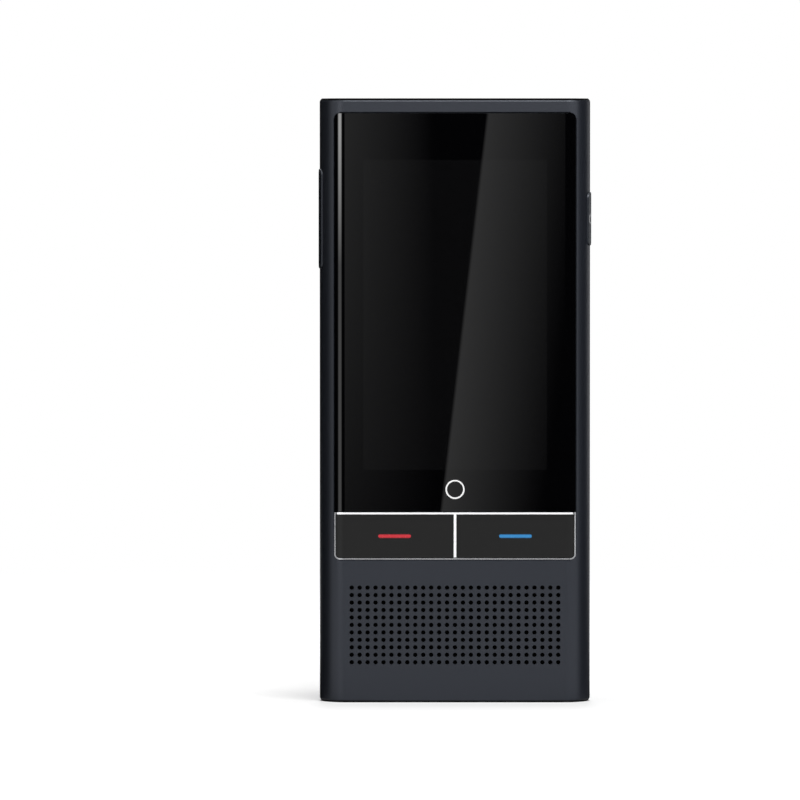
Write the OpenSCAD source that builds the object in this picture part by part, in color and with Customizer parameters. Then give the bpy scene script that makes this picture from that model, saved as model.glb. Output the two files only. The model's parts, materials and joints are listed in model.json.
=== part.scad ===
// Handheld voice translator: a slim bar with rounded flanks, a glass front that curves down over
// both edges, two wide speech keys in a bright trim, and a drilled loudspeaker grille below them.
// It stands on its lower end. +Z is up, the screen faces -Y, and +X is on the right of someone
// who looks at the screen. The origin is at the middle of the lower end.

/* [Body] */
// Width across the flanks
body_w = 57.6; // [56.8:0.2:60]
// Height from end to end
body_h = 128.4; // [127:0.2:134]
// Depth from front to back
body_d = 13.6; // [13.4:0.1:14.4]
// Radius where the flat faces turn into the flanks
corner_r = 4.7; // [4.4:0.1:5]
// Wall of the front housing and the rear cover
wall = 1.2; // [1.1:0.05:1.3]
// Chamfer round both ends
edge_chamfer = 0.45; // [0.2:0.05:0.6]
// Depth of the rear cover at the seam
cover_depth = 3.4; // [3:0.1:3.8]
// Open line of the seam
seam_gap = 0.1; // [0.05:0.05:0.2]

/* [Seam joint] */
// How far the cover's lip reaches into the housing
lip_h = 1.4; // [1:0.1:1.6]
// Thickness of the lip
lip_t = 0.6; // [0.5:0.1:0.8]
// Length of each snap hook
hook_l = 6; // [4:0.5:8]
// How far a hook stands out from the lip
hook_reach = 0.3; // [0.2:0.05:0.4]
// Height of a hook, in the direction of the depth
hook_h = 0.6; // [0.4:0.1:0.7]

/* [End caps] */
// Thickness of both end caps
cap_t = 1.6; // [1.4:0.1:1.8]
// How far the top cap lies below the rim
top_recess = 0.15; // [0:0.05:0.3]
// Depth of the groove that holds a cap's flange
cap_groove = 0.4; // [0.3:0.05:0.5]
// Thickness of a cap's flange
cap_flange_t = 0.6; // [0.4:0.1:0.7]

/* [Window and glass] */
// Distance from each flank to the window that holds the glass and the keys
window_side = 3.1; // [2.9:0.1:3.4]
// Distance from the upper end to the window
window_margin = 3; // [2.8:0.1:3.4]
// Height of the window's lower edge
window_low = 30.4; // [30:0.1:31]
// Corner radius of the window
window_r = 1.15; // [0.8:0.05:1.5]
// Small chamfer round the window
window_bevel = 0.22; // [0.1:0.02:0.3]
// Thickness of the cover glass
glass_t = 1; // [0.8:0.05:1.1]
// Thickness of the adhesive behind the glass
bond_t = 0.2; // [0.1:0.05:0.3]
// Open line round the glass
glass_gap = 0.12; // [0.08:0.02:0.2]
// Width of the ledge that carries the glass
ledge_w = 1.8; // [1.4:0.1:2]
// Thickness of that ledge
ledge_t = 0.8; // [0.6:0.1:1]

/* [Display] */
// Distance from the window's sides to the display panel
panel_side = 5.6; // [4.7:0.1:6.7]
// Distance from the glass's ends to the display panel
panel_end = 5.97; // [5.47:0.05:8.47]
// Thickness of the display panel
panel_t = 1.8; // [1.5:0.1:2]
// Thickness of the foam behind the panel
cushion_t = 1; // [0.8:0.1:1.2]

/* [Speech keys] */
// Height of the part of the window that holds the trim and the keys
key_zone_h = 10.06; // [9.6:0.02:10.4]
// Width of the trim's outer line
trim_side = 0.28; // [0.2:0.02:0.4]
// Width of the trim's line under the glass
trim_top = 0.4; // [0.3:0.02:0.5]
// Width of the trim's bar between the keys
trim_mid = 0.55; // [0.4:0.05:0.8]
// How far the keys stand proud
key_proud = 0.2; // [0.1:0.05:0.3]
// Open line round each key
key_gap = 0.12; // [0.08:0.02:0.16]
// Travel of a key
key_travel = 0.3; // [0.2:0.05:0.3]
// Width of the flange that keeps a key in
key_flange_w = 0.4; // [0.3:0.05:0.5]
// Thickness of that flange
key_flange_t = 0.5; // [0.4:0.05:0.6]
// Length of the light bar in a key
light_l = 6.9; // [5:0.1:9]
// Height of the light bar in a key
light_h = 0.85; // [0.6:0.05:1.2]

/* [Loudspeaker grille] */
// Distance between holes in a row
grille_pitch_x = 1.69; // [1.5:0.01:1.7]
// Distance between rows
grille_pitch_z = 1.59; // [1.4:0.01:1.6]
// Diameter of a hole
grille_hole = 0.94; // [0.7:0.02:1.1]
// Height of the middle of the grille
grille_z = 16.5; // [16.3:0.1:16.7]
// Least distance from the holes to the gasket behind them
grille_margin = 0.02; // [0.01:0.01:0.05]

/* [Side buttons] */
// Distance from the upper end to the middle of the buttons
button_drop = 25.55; // [24:0.05:27]
// Distance from the front to the middle of the buttons
button_depth = 5; // [4.8:0.05:5.2]
// Width of both buttons
button_w = 2.6; // [2.2:0.1:2.8]
// Length of the power button
power_l = 11.4; // [9:0.2:13]
// Length of the volume rocker
volume_l = 21.2; // [18:0.2:22]
// How far both buttons stand proud
button_proud = 0.26; // [0.15:0.01:0.35]
// Open line round the buttons
button_gap = 0.14; // [0.12:0.02:0.2]
// Travel of the power button
button_travel = 0.3; // [0.2:0.05:0.3]
// Thickness of the flange that keeps a button in
button_flange_t = 0.5; // [0.4:0.05:0.6]

/* [Inner frame and screws] */
// Thickness of the inner frame
frame_t = 0.8; // [0.6:0.1:1]
// Distance from each flank to the screw posts
post_side = 4.2; // [4.1:0.1:4.3]
// Diameter of a screw post
post_d = 2.8; // [2.6:0.1:2.9]
// Thread diameter of the screws
screw_d = 1.1; // [1:0.05:1.2]
// Head diameter of the screws
head_d = 2.4; // [2:0.1:2.5]
// Head height of the screws
head_h = 0.5; // [0.4:0.05:0.6]
// Thickness of the tabs that carry the side switches
tab_t = 0.4; // [0.3:0.05:0.5]

/* [Boards and battery] */
// Thickness of every circuit board
board_t = 0.8; // [0.6:0.1:0.9]
// How far the main board is lifted off the frame
board_lift = 0.6; // [0.5:0.1:0.8]
// Distance from each flank to the main board
main_side = 5.3; // [5.1:0.1:5.8]
// Height of the main board
main_h = 32.6; // [32:0.2:33.4]
// Height of the dome switches
switch_h = 0.7; // [0.5:0.05:0.8]
// Height of the shield cans
shield_h = 1.5; // [1.2:0.1:1.8]
// Thickness of every ribbon cable
ribbon_t = 0.15; // [0.1:0.01:0.2]
// Height of the board connectors
plug_h = 0.8; // [0.6:0.05:0.9]
// Distance from each flank to the battery
battery_side = 6.8; // [6.3:0.1:8.8]
// Distance from the battery to the main board
battery_gap = 3.53; // [3.03:0.05:7.53]
// Thickness of the battery
battery_t = 5.8; // [5:0.1:6]
// Thickness of the tape under the battery
tape_t = 0.15; // [0.1:0.05:0.2]

/* [Loudspeaker] */
// Distance from each flank to the speaker box
speaker_side = 6; // [5.8:0.05:6.3]
// Height of the speaker box
speaker_h = 18; // [17.8:0.1:18.4]
// Thickness of the speaker box
speaker_t = 5.8; // [4:0.1:6]
// Thickness of the mesh behind the grille
mesh_t = 0.15; // [0.1:0.05:0.2]
// Thickness of the gasket round the grille
gasket_t = 0.5; // [0.4:0.05:0.6]

/* [Charging port] */
// Width of the port shell, outside
port_w = 8.94; // [8.8:0.02:9.2]
// Height of the port shell, outside
port_h = 3.16; // [3:0.02:3.3]
// Sheet of the port shell
port_t = 0.3; // [0.25:0.05:0.35]
// Length of the port shell
port_l = 6.5; // [6:0.1:6.7]
// How far the port lies behind the lower end
port_recess = 0.3; // [0.1:0.1:0.5]

/* [Microphones and antenna] */
// Distance from the middle to each microphone
mic_x = 12; // [8:0.5:16]
// Diameter of the microphone holes
mic_hole = 1; // [0.6:0.1:1.2]
// Height of a microphone capsule
mic_h = 1; // [0.8:0.1:1.2]
// Thickness of the antenna carrier
carrier_t = 3.7; // [3:0.1:3.8]

/* [Hidden] */
$fn = 64;
// Overshoot of a cut
over = 1;
// Play between pieces that seat on each other
fit = 0.05;
// Radial play of the caps and of the trim
slip = 0.03;
// Play that is left under a switch nub at full travel
dome_play = 0.05;

// Depths, from the front face at -Y to the back face at +Y
front = -body_d / 2;
back = body_d / 2;
seam_y = back - cover_depth;
rest_inset = glass_t + bond_t;
ledge_inset = rest_inset + ledge_t;
frame_front = front + rest_inset + panel_t + cushion_t;
frame_back = frame_front + frame_t;
main_front = frame_back + board_lift;
main_back = main_front + board_t;
battery_back = frame_back + tape_t + battery_t;
button_y = front + button_depth;
key_board_front = frame_front - board_t;
key_switch_front = key_board_front - switch_h;
port_board_front = port_h / 2 + slip;
port_board_back = port_board_front + board_t;
speaker_front = front + wall + mesh_t + gasket_t;
carrier_back = back - wall - 0.5;

// Cross-section: direction in which a corner arc runs into the flank arc, and the middles of both
turn = [0.8, 0.6];
corner_y = body_d / 2 - corner_r;
flank_r = corner_r + corner_y / turn[1];
flank_x0 = body_w / 2 - flank_r;
corner_x = flank_x0 + (flank_r - corner_r) * turn[0];

// Size and heights of the window, the glass, the display and the caps
window_w = body_w - 2 * window_side;
window_high = body_h - window_margin;
glass_low = window_low + key_zone_h;
glass_mid = (glass_low + window_high) / 2;
panel_w = window_w - 2 * panel_side;
panel_h = window_high - glass_low - 2 * panel_end;
cap_low = body_h - top_recess - cap_t;
button_z = body_h - button_drop;

// Ledge: its lowest point behind the front, how far it runs past the window, and its clearances
ledge_depth = 3;
ledge_out = 1.3;
ledge_clear = 0.3;
bond_margin = 0.3;
bevel_reach = 1.2;

// Lip and snap hooks of the rear cover
lip_gap = 0.1;
lip_root = 1.2;
lip_low = cap_t + 0.8;
lip_high = cap_low - 0.8;
hook_low = 20;
hook_drop = 16.4;
hook_high = body_h - hook_drop;
hook_heights = [hook_low, (hook_low + hook_high) / 2, hook_high];
hook_x = flank_x(wall + lip_gap, seam_y - lip_h / 2) + hook_reach;

// Keys, their board and what is on it
key_x = window_w / 4;
key_inner = trim_mid / 2 + key_gap;
key_cap_inset = wall + 0.3;
key_flange_inset = wall + key_gap;
key_flange_depth = 3.1;
key_light_z = window_low + key_zone_h / 2;
key_switch_z = window_low + 2.4;
key_switch_d = 3.6;
key_nub_d = 1.6;
light_proud = 0.02;
led_l = 1.6;
led_w = 0.8;
led_h = 0.5;
led_shift = 0.4;
key_board_side = 2.7;
key_board_w = window_w - 2 * key_board_side;
key_board_h = 15.2;
key_board_low = window_low - 3.4;

// Side buttons: flanges, nubs, switches and the tabs behind them
button_flange_w = 0.4;
button_flange_inset = wall + button_gap;
rocker_inset = wall + button_gap + 0.12;
rocker_flange_t = 0.5;
rocker_flange_l = 10;
nub_d = 1.4;
side_switch_h = 0.8;
side_switch_w = 2.6;
side_switch_l = 4;
side_switch_x = flank_x(button_flange_inset + button_flange_t, button_y - button_w / 2 - button_flange_w)
    - button_travel - dome_play;
tab_x = side_switch_x - side_switch_h - ribbon_t - tab_t;
tab_w = 3.2;
volume_switch_dz = 7.4;
power_tab_l = 8;
volume_tab_l = 2 * volume_switch_dz + 5;
notch_margin = 1.6;

// Display panel, its foam and its ribbon
panel_low = glass_mid - panel_h / 2;
panel_high = glass_mid + panel_h / 2;
panel_step = 0.6;
cushion_in = 2;
cushion_w = 4;
slot_z = panel_high + 2.4;
slot_w = 15;
slot_h = 1.4;

// Inner frame and its screws
post_x = body_w / 2 - post_side;
frame_low = window_low - 4;
frame_high = window_high + 0.2;
frame_w = 2 * post_x + post_d;
frame_r = 2;
middle_post_rise = 0.4;
frame_screw_l = 2.8;
hole_play = 0.3;

// Main board
main_w = body_w - 2 * main_side;
main_drop = 1.4;
main_low = slot_z - slot_h / 2 - main_drop - main_h;
main_screw_in = 2.1;
main_screw_end = 2.6;
main_screw_x = main_w / 2 - main_screw_in;
main_screw_heights = [main_low + main_screw_end, main_low + main_h - main_screw_end];
plug_l = 2;
main_plug_z = main_low + 3.2;
display_plug_z = main_low + main_h - 4;
side_plug_in = 2.9;
side_plug_x = main_w / 2 - side_plug_in;
can_t = 0.2;
can_rise = 7;
can_drop = 7.4;
can_low = main_low + can_rise;
can_high = main_low + main_h - can_drop;
can_space = 3;
radio_w = 12;
radio_in = 4.5;
processor_in = 5.5;
radio_x = [main_w / 2 - radio_in - radio_w, main_w / 2 - radio_in];
processor_x = [processor_in - main_w / 2, radio_x[0] - can_space];

// Chips: their height, their least distance from a can, and how they stand in the two cans
chip_h = 0.9;
chip_margin = 1.5;
chip_space = 1;
chip_rise = 0.9;
processor_end = 3.6;
processor_l = can_high - can_low - 2 * processor_end;
memory_l = processor_x[1] - processor_x[0] - 2 * chip_margin - chip_space - processor_l;
processor_z = (can_low + can_high) / 2 + chip_rise;
filter_l = 5;
filter_margin = 2.7;
radio_margin = 2;
radio_space = 2.5;
radio_l = can_high - can_low - radio_margin - radio_space - filter_l - filter_margin;

// Battery and the ribbons that run past it
battery_w = body_w - 2 * battery_side;
battery_low = frame_low + 3.2;
battery_high = main_low - battery_gap;
battery_h = battery_high - battery_low;
tape_in = 2;
cushion_x = [8, battery_w / 2 - tape_in];
cushion_end = 10;
lead_in = 6.4;
lead_x = main_screw_x - lead_in;
lead_w = 6;
main_ribbon_w = 10;
port_plug_z = 12;
key_plug_z = 21.5;
key_ribbon_in = 11.6;
key_ribbon_x = key_ribbon_in - post_x;
key_ribbon_w = 6;
key_ribbon_z = frame_low - 0.45;

// Screw posts that carry the inner frame
post_heights = [window_low - 2.2, glass_low + 4.1, battery_high + middle_post_rise, window_high - 3.6];

// Loudspeaker and the holes that fit in front of it
speaker_w = body_w - 2 * speaker_side;
gasket_w = 0.3;
grille_edge = 2 * gasket_w + grille_hole + 2 * grille_margin;
grille_columns = floor((speaker_w - grille_edge) / grille_pitch_x) + 1;
grille_rows = floor((speaker_h - grille_edge) / grille_pitch_z) + 1;
driver_side = 5.8;
driver_end = 2;
driver_w = speaker_w - 2 * driver_side;
driver_h = speaker_h - 2 * driver_end;
driver_t = 3;
cone_t = 1.2;

// Charging port and its board
port_board_low = cap_t + 0.2;
port_board_high = frame_low - 1.2;
port_post_heights = [5.4, 21.5];
port_screw_l = 3;
tongue_w = 6.7;
tongue_t = 0.7;
tongue_recess = 0.7;
tongue_base = 1.4;

// Microphones and antenna
mic_l = 3.5;
mic_w = 2.6;
boot_h = 1.05;
lower_mic_y = port_board_front - mic_h / 2;
upper_mic_y = 3;
carrier_high = cap_low - boot_h - mic_h;
carrier_low = can_high + 0.6;
carrier_side = 1;
carrier_w = main_w - 2 * carrier_side;
carrier_leg = 2;
foil_t = 0.1;
foil_in = 1.2;
foil_slot = 1.2;
foil_turn = 12;

// Half width of the body at a depth y, drawn in by inset, where the flank's own arc runs
function flank_x(inset, y) = flank_x0 + sqrt(pow(flank_r - inset, 2) - y * y);

// Unit vector along the run from a to b
function heading(a, b) = (b - a) / norm(b - a);

// Point beside corner i of a path, at distance d to its left, mitred
function beside(path, i, d) =
    let (last = len(path) - 1,
         u = i == 0 ? heading(path[0], path[1]) : heading(path[i - 1], path[i]),
         v = i == last ? u : heading(path[i], path[i + 1]),
         n = [-u[1] - v[1], u[0] + v[0]])
    path[i] + n * 2 * d / (n * n);

// Box between two opposite corners
module block(low, high) translate(low) cube(high - low);

// Extrudes an outline drawn in X and Z from y0 to y1
module face_on(y0, y1) translate([0, y1, 0]) rotate([90, 0, 0]) linear_extrude(y1 - y0) children();

// Extrudes an outline drawn in Y and Z from x0 to x1
module side_on(x0, x1) translate([x0, 0, 0]) rotate([90, 0, 90]) linear_extrude(x1 - x0) children();

// Flat ribbon of even thickness along a path in Y and Z
module ribbon(path, x0, x1) side_on(x0, x1) strip(path);

// Outline of a strip along a path
module strip(path) polygon(concat(
    [for (i = [0 : len(path) - 1]) beside(path, i, ribbon_t / 2)],
    [for (i = [len(path) - 1 : -1 : 0]) beside(path, i, -ribbon_t / 2)]));

// Rectangle with round corners
module rounded(w, h, r) {
    square([w - 2 * r, h], center = true);
    square([w, h - 2 * r], center = true);
    for (x = [-1, 1], z = [-1, 1])
        translate([x * (w / 2 - r), z * (h / 2 - r)]) circle(r);
}

// Upright slot with round ends
module pill(length, width) {
    square([width, length - width], center = true);
    for (z = [-1, 1]) translate([0, z * (length - width) / 2]) circle(width / 2);
}

// Solid of the body's own cross-section, drawn in by inset, from z0 to z1, with its ends chamfered
module barrel(inset, z0, z1, low = 0, high = 0) {
    half_d = body_d / 2 - inset;
    core = [corner_x, corner_y] + (corner_r - inset - max(low, high) - fit) * turn;
    block([-core[0], -core[1], z0], [core[0], core[1], z1]);
    side_on(-corner_x, corner_x)
        polygon([[-half_d, z0 + low], [-half_d + low, z0], [half_d - low, z0], [half_d, z0 + low],
            [half_d, z1 - high], [half_d - high, z1], [-half_d + high, z1], [-half_d, z1 - high]]);
    for (x = [0, 1]) mirror([x, 0, 0]) {
        translate([flank_x0, 0, 0])
            sector(flank_r - inset, [turn[0], -turn[1]], turn, z0, z1, low, high);
        for (y = [0, 1]) mirror([0, y, 0])
            translate([corner_x, corner_y, 0])
                sector(corner_r - inset, turn, [0, 1], z0, z1, low, high);
    }
}

// Sector of a round column between two directions, with chamfered ends
module sector(r, from, to, z0, z1, low, high) intersection() {
    rotate([0, 0, 180]) rotate_extrude()
        polygon([[0, z0], [r - low, z0], [r, z0 + low], [r, z1 - high], [r - high, z1], [0, z1]]);
    translate([0, 0, z0 - over]) linear_extrude(z1 - z0 + 2 * over) polygon([[0, 0], 2 * r * from, 2 * r * to]);
}

// Skin between two insets
module skin(outer, inner, z0, z1) difference() {
    barrel(outer, z0, z1);
    barrel(inner, z0 - over, z1 + over);
}

// Outline of the window, drawn in by inset
module window(inset = 0)
    translate([0, (window_low + window_high) / 2])
        rounded(window_w - 2 * inset, window_high - window_low - 2 * inset, window_r - inset);

// Outline of the window's part above height z
module window_above(inset, z) intersection() {
    window(inset);
    translate([-body_w / 2, z]) square([body_w, body_h]);
}

// Outline of the window's part below height z
module window_below(inset, z) intersection() {
    window(inset);
    translate([-body_w / 2, 0]) square([body_w, z]);
}

// Places children at every screw post that carries the inner frame
module at_frame_posts() for (x = [-1, 1], z = post_heights) translate([x * post_x, 0, z]) children();

// Places children at every screw post that carries the port board
module at_port_posts() for (x = [-1, 1], z = port_post_heights) translate([x * post_x, 0, z]) children();

// Column along Y
module column(y0, y1, d) translate([0, y1, 0]) rotate([90, 0, 0]) cylinder(h = y1 - y0, d = d);

// Screw with its head seated at y, its shank towards the front
module screw(y, shank) {
    column(y, y + head_h, head_d);
    column(y - shank, y + head_h / 2, screw_d - 2 * slip);
}

// ---- Casing ----

// Material that the housing keeps behind the window: the ledge for the glass and the screw posts
module housing_inside() {
    difference() {
        block([-window_w / 2 - ledge_out, front - over, glass_low - trim_top],
            [window_w / 2 + ledge_out, front + ledge_depth, cap_low - ledge_clear]);
        barrel(ledge_inset, -over, body_h + over);
        display_opening();
    }
    at_frame_posts() column(front, frame_front, post_d);
    at_port_posts() column(front, port_board_front, post_d);
}

// Opening in the ledge, in front of the display
module display_opening()
    block([-window_w / 2 + ledge_w, front - over, glass_low + ledge_w],
        [window_w / 2 - ledge_w, front + ledge_inset + fit, window_high - ledge_w]);

// Cut for the glass, the trim and the keys
module window_cut() {
    difference() {
        face_on(front - over, front + ledge_depth) window();
        barrel(rest_inset, -over, body_h + over);
    }
    display_opening();
    face_on(front - over, front + ledge_depth) window_below(0, glass_low - trim_top);
    window_bevels();
}

// Small chamfers along the straight edges of the window
module window_bevels() {
    straight_x = window_w / 2 - window_r;
    edge_x = window_w / 2;
    edge_y = -corner_y - sqrt(pow(corner_r, 2) - pow(edge_x - corner_x, 2));
    slope = asin((edge_x - corner_x) / corner_r);
    low = [edge_x, edge_y + window_bevel];
    high = low + bevel_reach * window_bevel * [cos(slope), sin(slope) - 1];
    clear_x = edge_x - fit;
    for (side = [0, 1]) mirror([side, 0, 0])
        translate([0, 0, window_low + window_r])
            linear_extrude(window_high - window_low - 2 * window_r)
                polygon([low, high, [high[0], front - over], [clear_x, front - over], [clear_x, low[1]]]);
    difference() {
        block([-straight_x, front - over, window_high],
            [straight_x, front + over, window_high + window_bevel]);
        barrel(0, window_high, body_h, low = window_bevel);
    }
    difference() {
        block([-straight_x, front - over, window_low - window_bevel],
            [straight_x, front + over, window_low]);
        barrel(0, 0, window_low, high = window_bevel);
    }
}

// Holes of the loudspeaker grille
module grille_holes()
    for (i = [0 : grille_columns - 1], j = [0 : grille_rows - 1])
        translate([(i - (grille_columns - 1) / 2) * grille_pitch_x, 0,
                grille_z + (j - (grille_rows - 1) / 2) * grille_pitch_z])
            column(front - over, front + wall + over, grille_hole);

// Grooves for the flanges of both end caps
module cap_grooves() {
    barrel(wall - cap_groove, cap_t - cap_flange_t - fit, cap_t + fit);
    barrel(wall - cap_groove, cap_low - fit, cap_low + cap_flange_t + fit);
}

// Prism through a flank, on the right, in the shape of a button
module button_prism(length, width)
    translate([0, button_y, button_z])
        side_on(corner_x, body_w / 2 + over) pill(length, width);

// Places children at every snap hook on the right flank
module at_hooks() for (z = hook_heights) translate([0, seam_y - lip_h / 2, z]) children();

// Lip of the rear cover, and its root on the cover's wall
module lip() intersection() {
    skin(wall + lip_gap, wall + lip_gap + lip_t, lip_low, lip_high);
    block([-body_w, seam_y - lip_h, 0], [body_w, seam_y + lip_root, body_h]);
}

module front_housing() color("#3b3e46") difference() {
    intersection() {
        barrel(0, 0, body_h, edge_chamfer, edge_chamfer);
        block([-body_w, front - over, -over], [body_w, seam_y - seam_gap / 2, body_h + over]);
    }
    difference() {
        barrel(wall, -over, body_h + over);
        housing_inside();
    }
    cap_grooves();
    window_cut();
    grille_holes();
    button_prism(power_l + 2 * button_gap, button_w + 2 * button_gap);
    mirror([1, 0, 0]) button_prism(volume_l + 2 * button_gap, button_w + 2 * button_gap);
    for (side = [0, 1]) mirror([side, 0, 0]) at_hooks()
        block([corner_x, -hook_h / 2 - fit, -hook_l / 2 - fit],
            [hook_x + fit, hook_h / 2 + fit, hook_l / 2 + fit]);
    at_frame_posts() column(frame_front - frame_screw_l + frame_t, frame_front + over, screw_d);
    at_port_posts() column(port_board_front - port_screw_l, port_board_front + over, screw_d);
}

module rear_cover() color("#383b43") {
    difference() {
        intersection() {
            barrel(0, 0, body_h, edge_chamfer, edge_chamfer);
            block([-body_w, seam_y + seam_gap / 2, -over], [body_w, back + over, body_h + over]);
        }
        difference() {
            barrel(wall, -over, body_h + over);
            difference() {
                block([-body_w, seam_y, lip_low], [body_w, seam_y + lip_root, lip_high]);
                barrel(wall + lip_gap + lip_t, -over, body_h + over);
            }
        }
        cap_grooves();
    }
    lip();
    for (side = [0, 1]) mirror([side, 0, 0]) at_hooks()
        block([hook_x - hook_reach - fit, -hook_h / 2, -hook_l / 2], [hook_x, hook_h / 2, hook_l / 2]);
}

// Plug with a flange at its inner end
module end_cap(z0, z1, flange_z) {
    barrel(wall + fit, z0, z1);
    barrel(wall - cap_groove + fit, flange_z, flange_z + cap_flange_t);
}

module top_cap() color("#101114") difference() {
    end_cap(cap_low, cap_low + cap_t, cap_low);
    translate([-mic_x, upper_mic_y, cap_low - over]) cylinder(h = cap_t + 2 * over, d = mic_hole);
}

module bottom_cap() color("#101114") difference() {
    end_cap(0, cap_t, cap_t - cap_flange_t);
    port_prism(2 * fit, -over, cap_t + over);
    translate([mic_x, lower_mic_y, -over]) cylinder(h = cap_t + 2 * over, d = mic_hole);
}

module cover_glass() color("#0b0c0f") intersection() {
    skin(0, glass_t, glass_low - over, window_high + over);
    face_on(front - over, front + ledge_depth) window_above(glass_gap, glass_low + glass_gap);
}

module glass_adhesive() color("#202020") difference() {
    intersection() {
        skin(glass_t + slip, rest_inset - slip, glass_low - over, window_high + over);
        face_on(front - over, front + ledge_depth)
            window_above(glass_gap + bond_margin, glass_low + glass_gap + bond_margin);
    }
    display_opening();
}

// ---- Speech keys ----

module key_trim() color("#d8dade") intersection() {
    skin(0, rest_inset - slip, window_low - over, glass_low + over);
    face_on(front - over, front + ledge_depth) difference() {
        window_below(slip, glass_low);
        difference() {
            window_below(slip + trim_side, glass_low - trim_top);
            square([trim_mid, 2 * body_h], center = true);
        }
    }
}

// Outline of the right key's cap
module key_outline() intersection() {
    window_below(slip + trim_side + key_gap, glass_low - trim_top - key_gap);
    translate([key_inner, 0]) square([body_w, body_h]);
}

// Light bar's outline, made larger by play on every side
module light_outline(play = 0)
    translate([key_x, key_light_z]) rotate(90) pill(light_l + 2 * play, light_h + 2 * play);

// Right key, without its colour
module key() difference() {
    union() {
        intersection() {
            skin(-key_proud, key_cap_inset, window_low - over, glass_low);
            face_on(front - over, front + key_flange_depth) key_outline();
        }
        intersection() {
            skin(key_flange_inset, key_flange_inset + key_flange_t, window_low - over, glass_low);
            face_on(front - over, front + key_flange_depth)
                translate([key_inner, window_low - key_flange_w])
                    square([window_w / 2 + key_flange_w - key_inner,
                        key_zone_h - trim_top - key_gap + key_flange_w]);
        }
        translate([key_x, 0, key_switch_z])
            column(front + key_cap_inset, key_switch_front - key_travel - dome_play, key_nub_d);
    }
    face_on(front - over, key_switch_front) light_outline(slip);
}

// Light bar of the right key, without its colour
module key_light()
    face_on(front - key_proud - light_proud, front + key_flange_inset + key_flange_t) light_outline();

module left_key() color("#2b2b2d") mirror([1, 0, 0]) key();

module right_key() color("#2b2b2d") key();

module left_key_light() color("#c83c46") mirror([1, 0, 0]) key_light();

module right_key_light() color("#4696d7") key_light();

module key_board() color("#1f5a3a")
    face_on(key_board_front, frame_front)
        translate([0, key_board_low + key_board_h / 2]) rounded(key_board_w, key_board_h, 1);

module key_switches() color("#c8c8c8") for (x = [-key_x, key_x])
    translate([x, 0, key_switch_z]) column(key_switch_front, key_board_front, key_switch_d);

module key_leds() color("#f2f0e0") for (x = [-key_x, key_x])
    block([x - led_l / 2, key_board_front - led_h, key_light_z - led_w / 2 + led_shift],
        [x + led_l / 2, key_board_front, key_light_z + led_w / 2 + led_shift]);

// ---- Side buttons ----

// Stub that presses a side switch, on the right
module side_nub(dz, root)
    translate([side_switch_x + dome_play + button_travel, button_y, button_z + dz])
        rotate([0, 90, 0]) cylinder(h = root - side_switch_x - dome_play - button_travel, d = nub_d);

module power_button() color("#33363d") {
    intersection() {
        skin(-button_proud, button_flange_inset + fit, button_z - power_l, button_z + power_l);
        button_prism(power_l, button_w);
    }
    intersection() {
        skin(button_flange_inset, button_flange_inset + button_flange_t,
            button_z - power_l, button_z + power_l);
        button_prism(power_l + 2 * button_flange_w, button_w + 2 * button_flange_w);
    }
    side_nub(0, flank_x(button_flange_inset + fit, button_y));
}

module volume_rocker() color("#33363d") mirror([1, 0, 0]) {
    intersection() {
        skin(-button_proud, rocker_inset + fit, button_z - volume_l, button_z + volume_l);
        button_prism(volume_l, button_w);
    }
    intersection() {
        skin(rocker_inset, rocker_inset + rocker_flange_t, button_z - volume_l, button_z + volume_l);
        button_prism(rocker_flange_l, button_w + 2 * button_flange_w);
    }
    for (dz = [-volume_switch_dz, volume_switch_dz])
        side_nub(dz, flank_x(rocker_inset - fit, button_y));
}

// Switch on the right tab, dz above the middle of the button
module side_switch(dz)
    block([side_switch_x - side_switch_h, button_y - side_switch_w / 2, button_z + dz - side_switch_l / 2],
        [side_switch_x, button_y + side_switch_w / 2, button_z + dz + side_switch_l / 2]);

// Ribbon from the right tab over to the main board
module side_ribbon(length) {
    lane = tab_x + tab_t + ribbon_t / 2;
    top = main_back + plug_h + ribbon_t / 2;
    translate([0, 0, button_z - length / 2]) linear_extrude(length)
        strip([[lane, button_y - tab_w / 2], [lane, top], [side_plug_x, top]]);
}

module power_switch() color("#c8c8c8") side_switch(0);

module power_ribbon() color("#b87333") side_ribbon(power_tab_l - 1);

module volume_switches() color("#c8c8c8") mirror([1, 0, 0])
    for (dz = [-volume_switch_dz, volume_switch_dz]) side_switch(dz);

module volume_ribbon() color("#b87333") mirror([1, 0, 0]) side_ribbon(volume_tab_l - 1);

// ---- Display ----

module display_panel() color("#15161a") {
    block([-panel_w / 2, front + rest_inset, panel_low],
        [panel_w / 2, front + rest_inset + panel_t / 2, panel_high]);
    block([-panel_w / 2 + panel_step, front + rest_inset + panel_t / 2, panel_low + panel_step],
        [panel_w / 2 - panel_step, frame_front - cushion_t, panel_high - panel_step]);
}

module display_bond() color("#dfe8ee")
    block([-panel_w / 2 + panel_step, front + glass_t, panel_low + panel_step],
        [panel_w / 2 - panel_step, front + rest_inset, panel_high - panel_step]);

module display_cushion() color("#26262a") difference() {
    block([-panel_w / 2 + cushion_in, frame_front - cushion_t, panel_low + cushion_in],
        [panel_w / 2 - cushion_in, frame_front, panel_high - cushion_in]);
    block([-panel_w / 2 + cushion_in + cushion_w, front, panel_low + cushion_in + cushion_w],
        [panel_w / 2 - cushion_in - cushion_w, back, panel_high - cushion_in - cushion_w]);
}

module display_ribbon() color("#b87333")
    ribbon([[front + rest_inset + panel_t / 4, panel_high], [front + rest_inset + panel_t / 4, slot_z],
        [main_back + plug_h + ribbon_t / 2, slot_z], [main_back + plug_h + ribbon_t / 2, display_plug_z]],
        -slot_w / 2 + 1, slot_w / 2 - 1);

// ---- Inner frame ----

// Notch in the frame's edge for the switches, on the right
module frame_notch(length)
    block([tab_x, frame_front - over, button_z - length / 2 - notch_margin],
        [body_w / 2, frame_back + over, button_z + length / 2 + notch_margin]);

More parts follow.
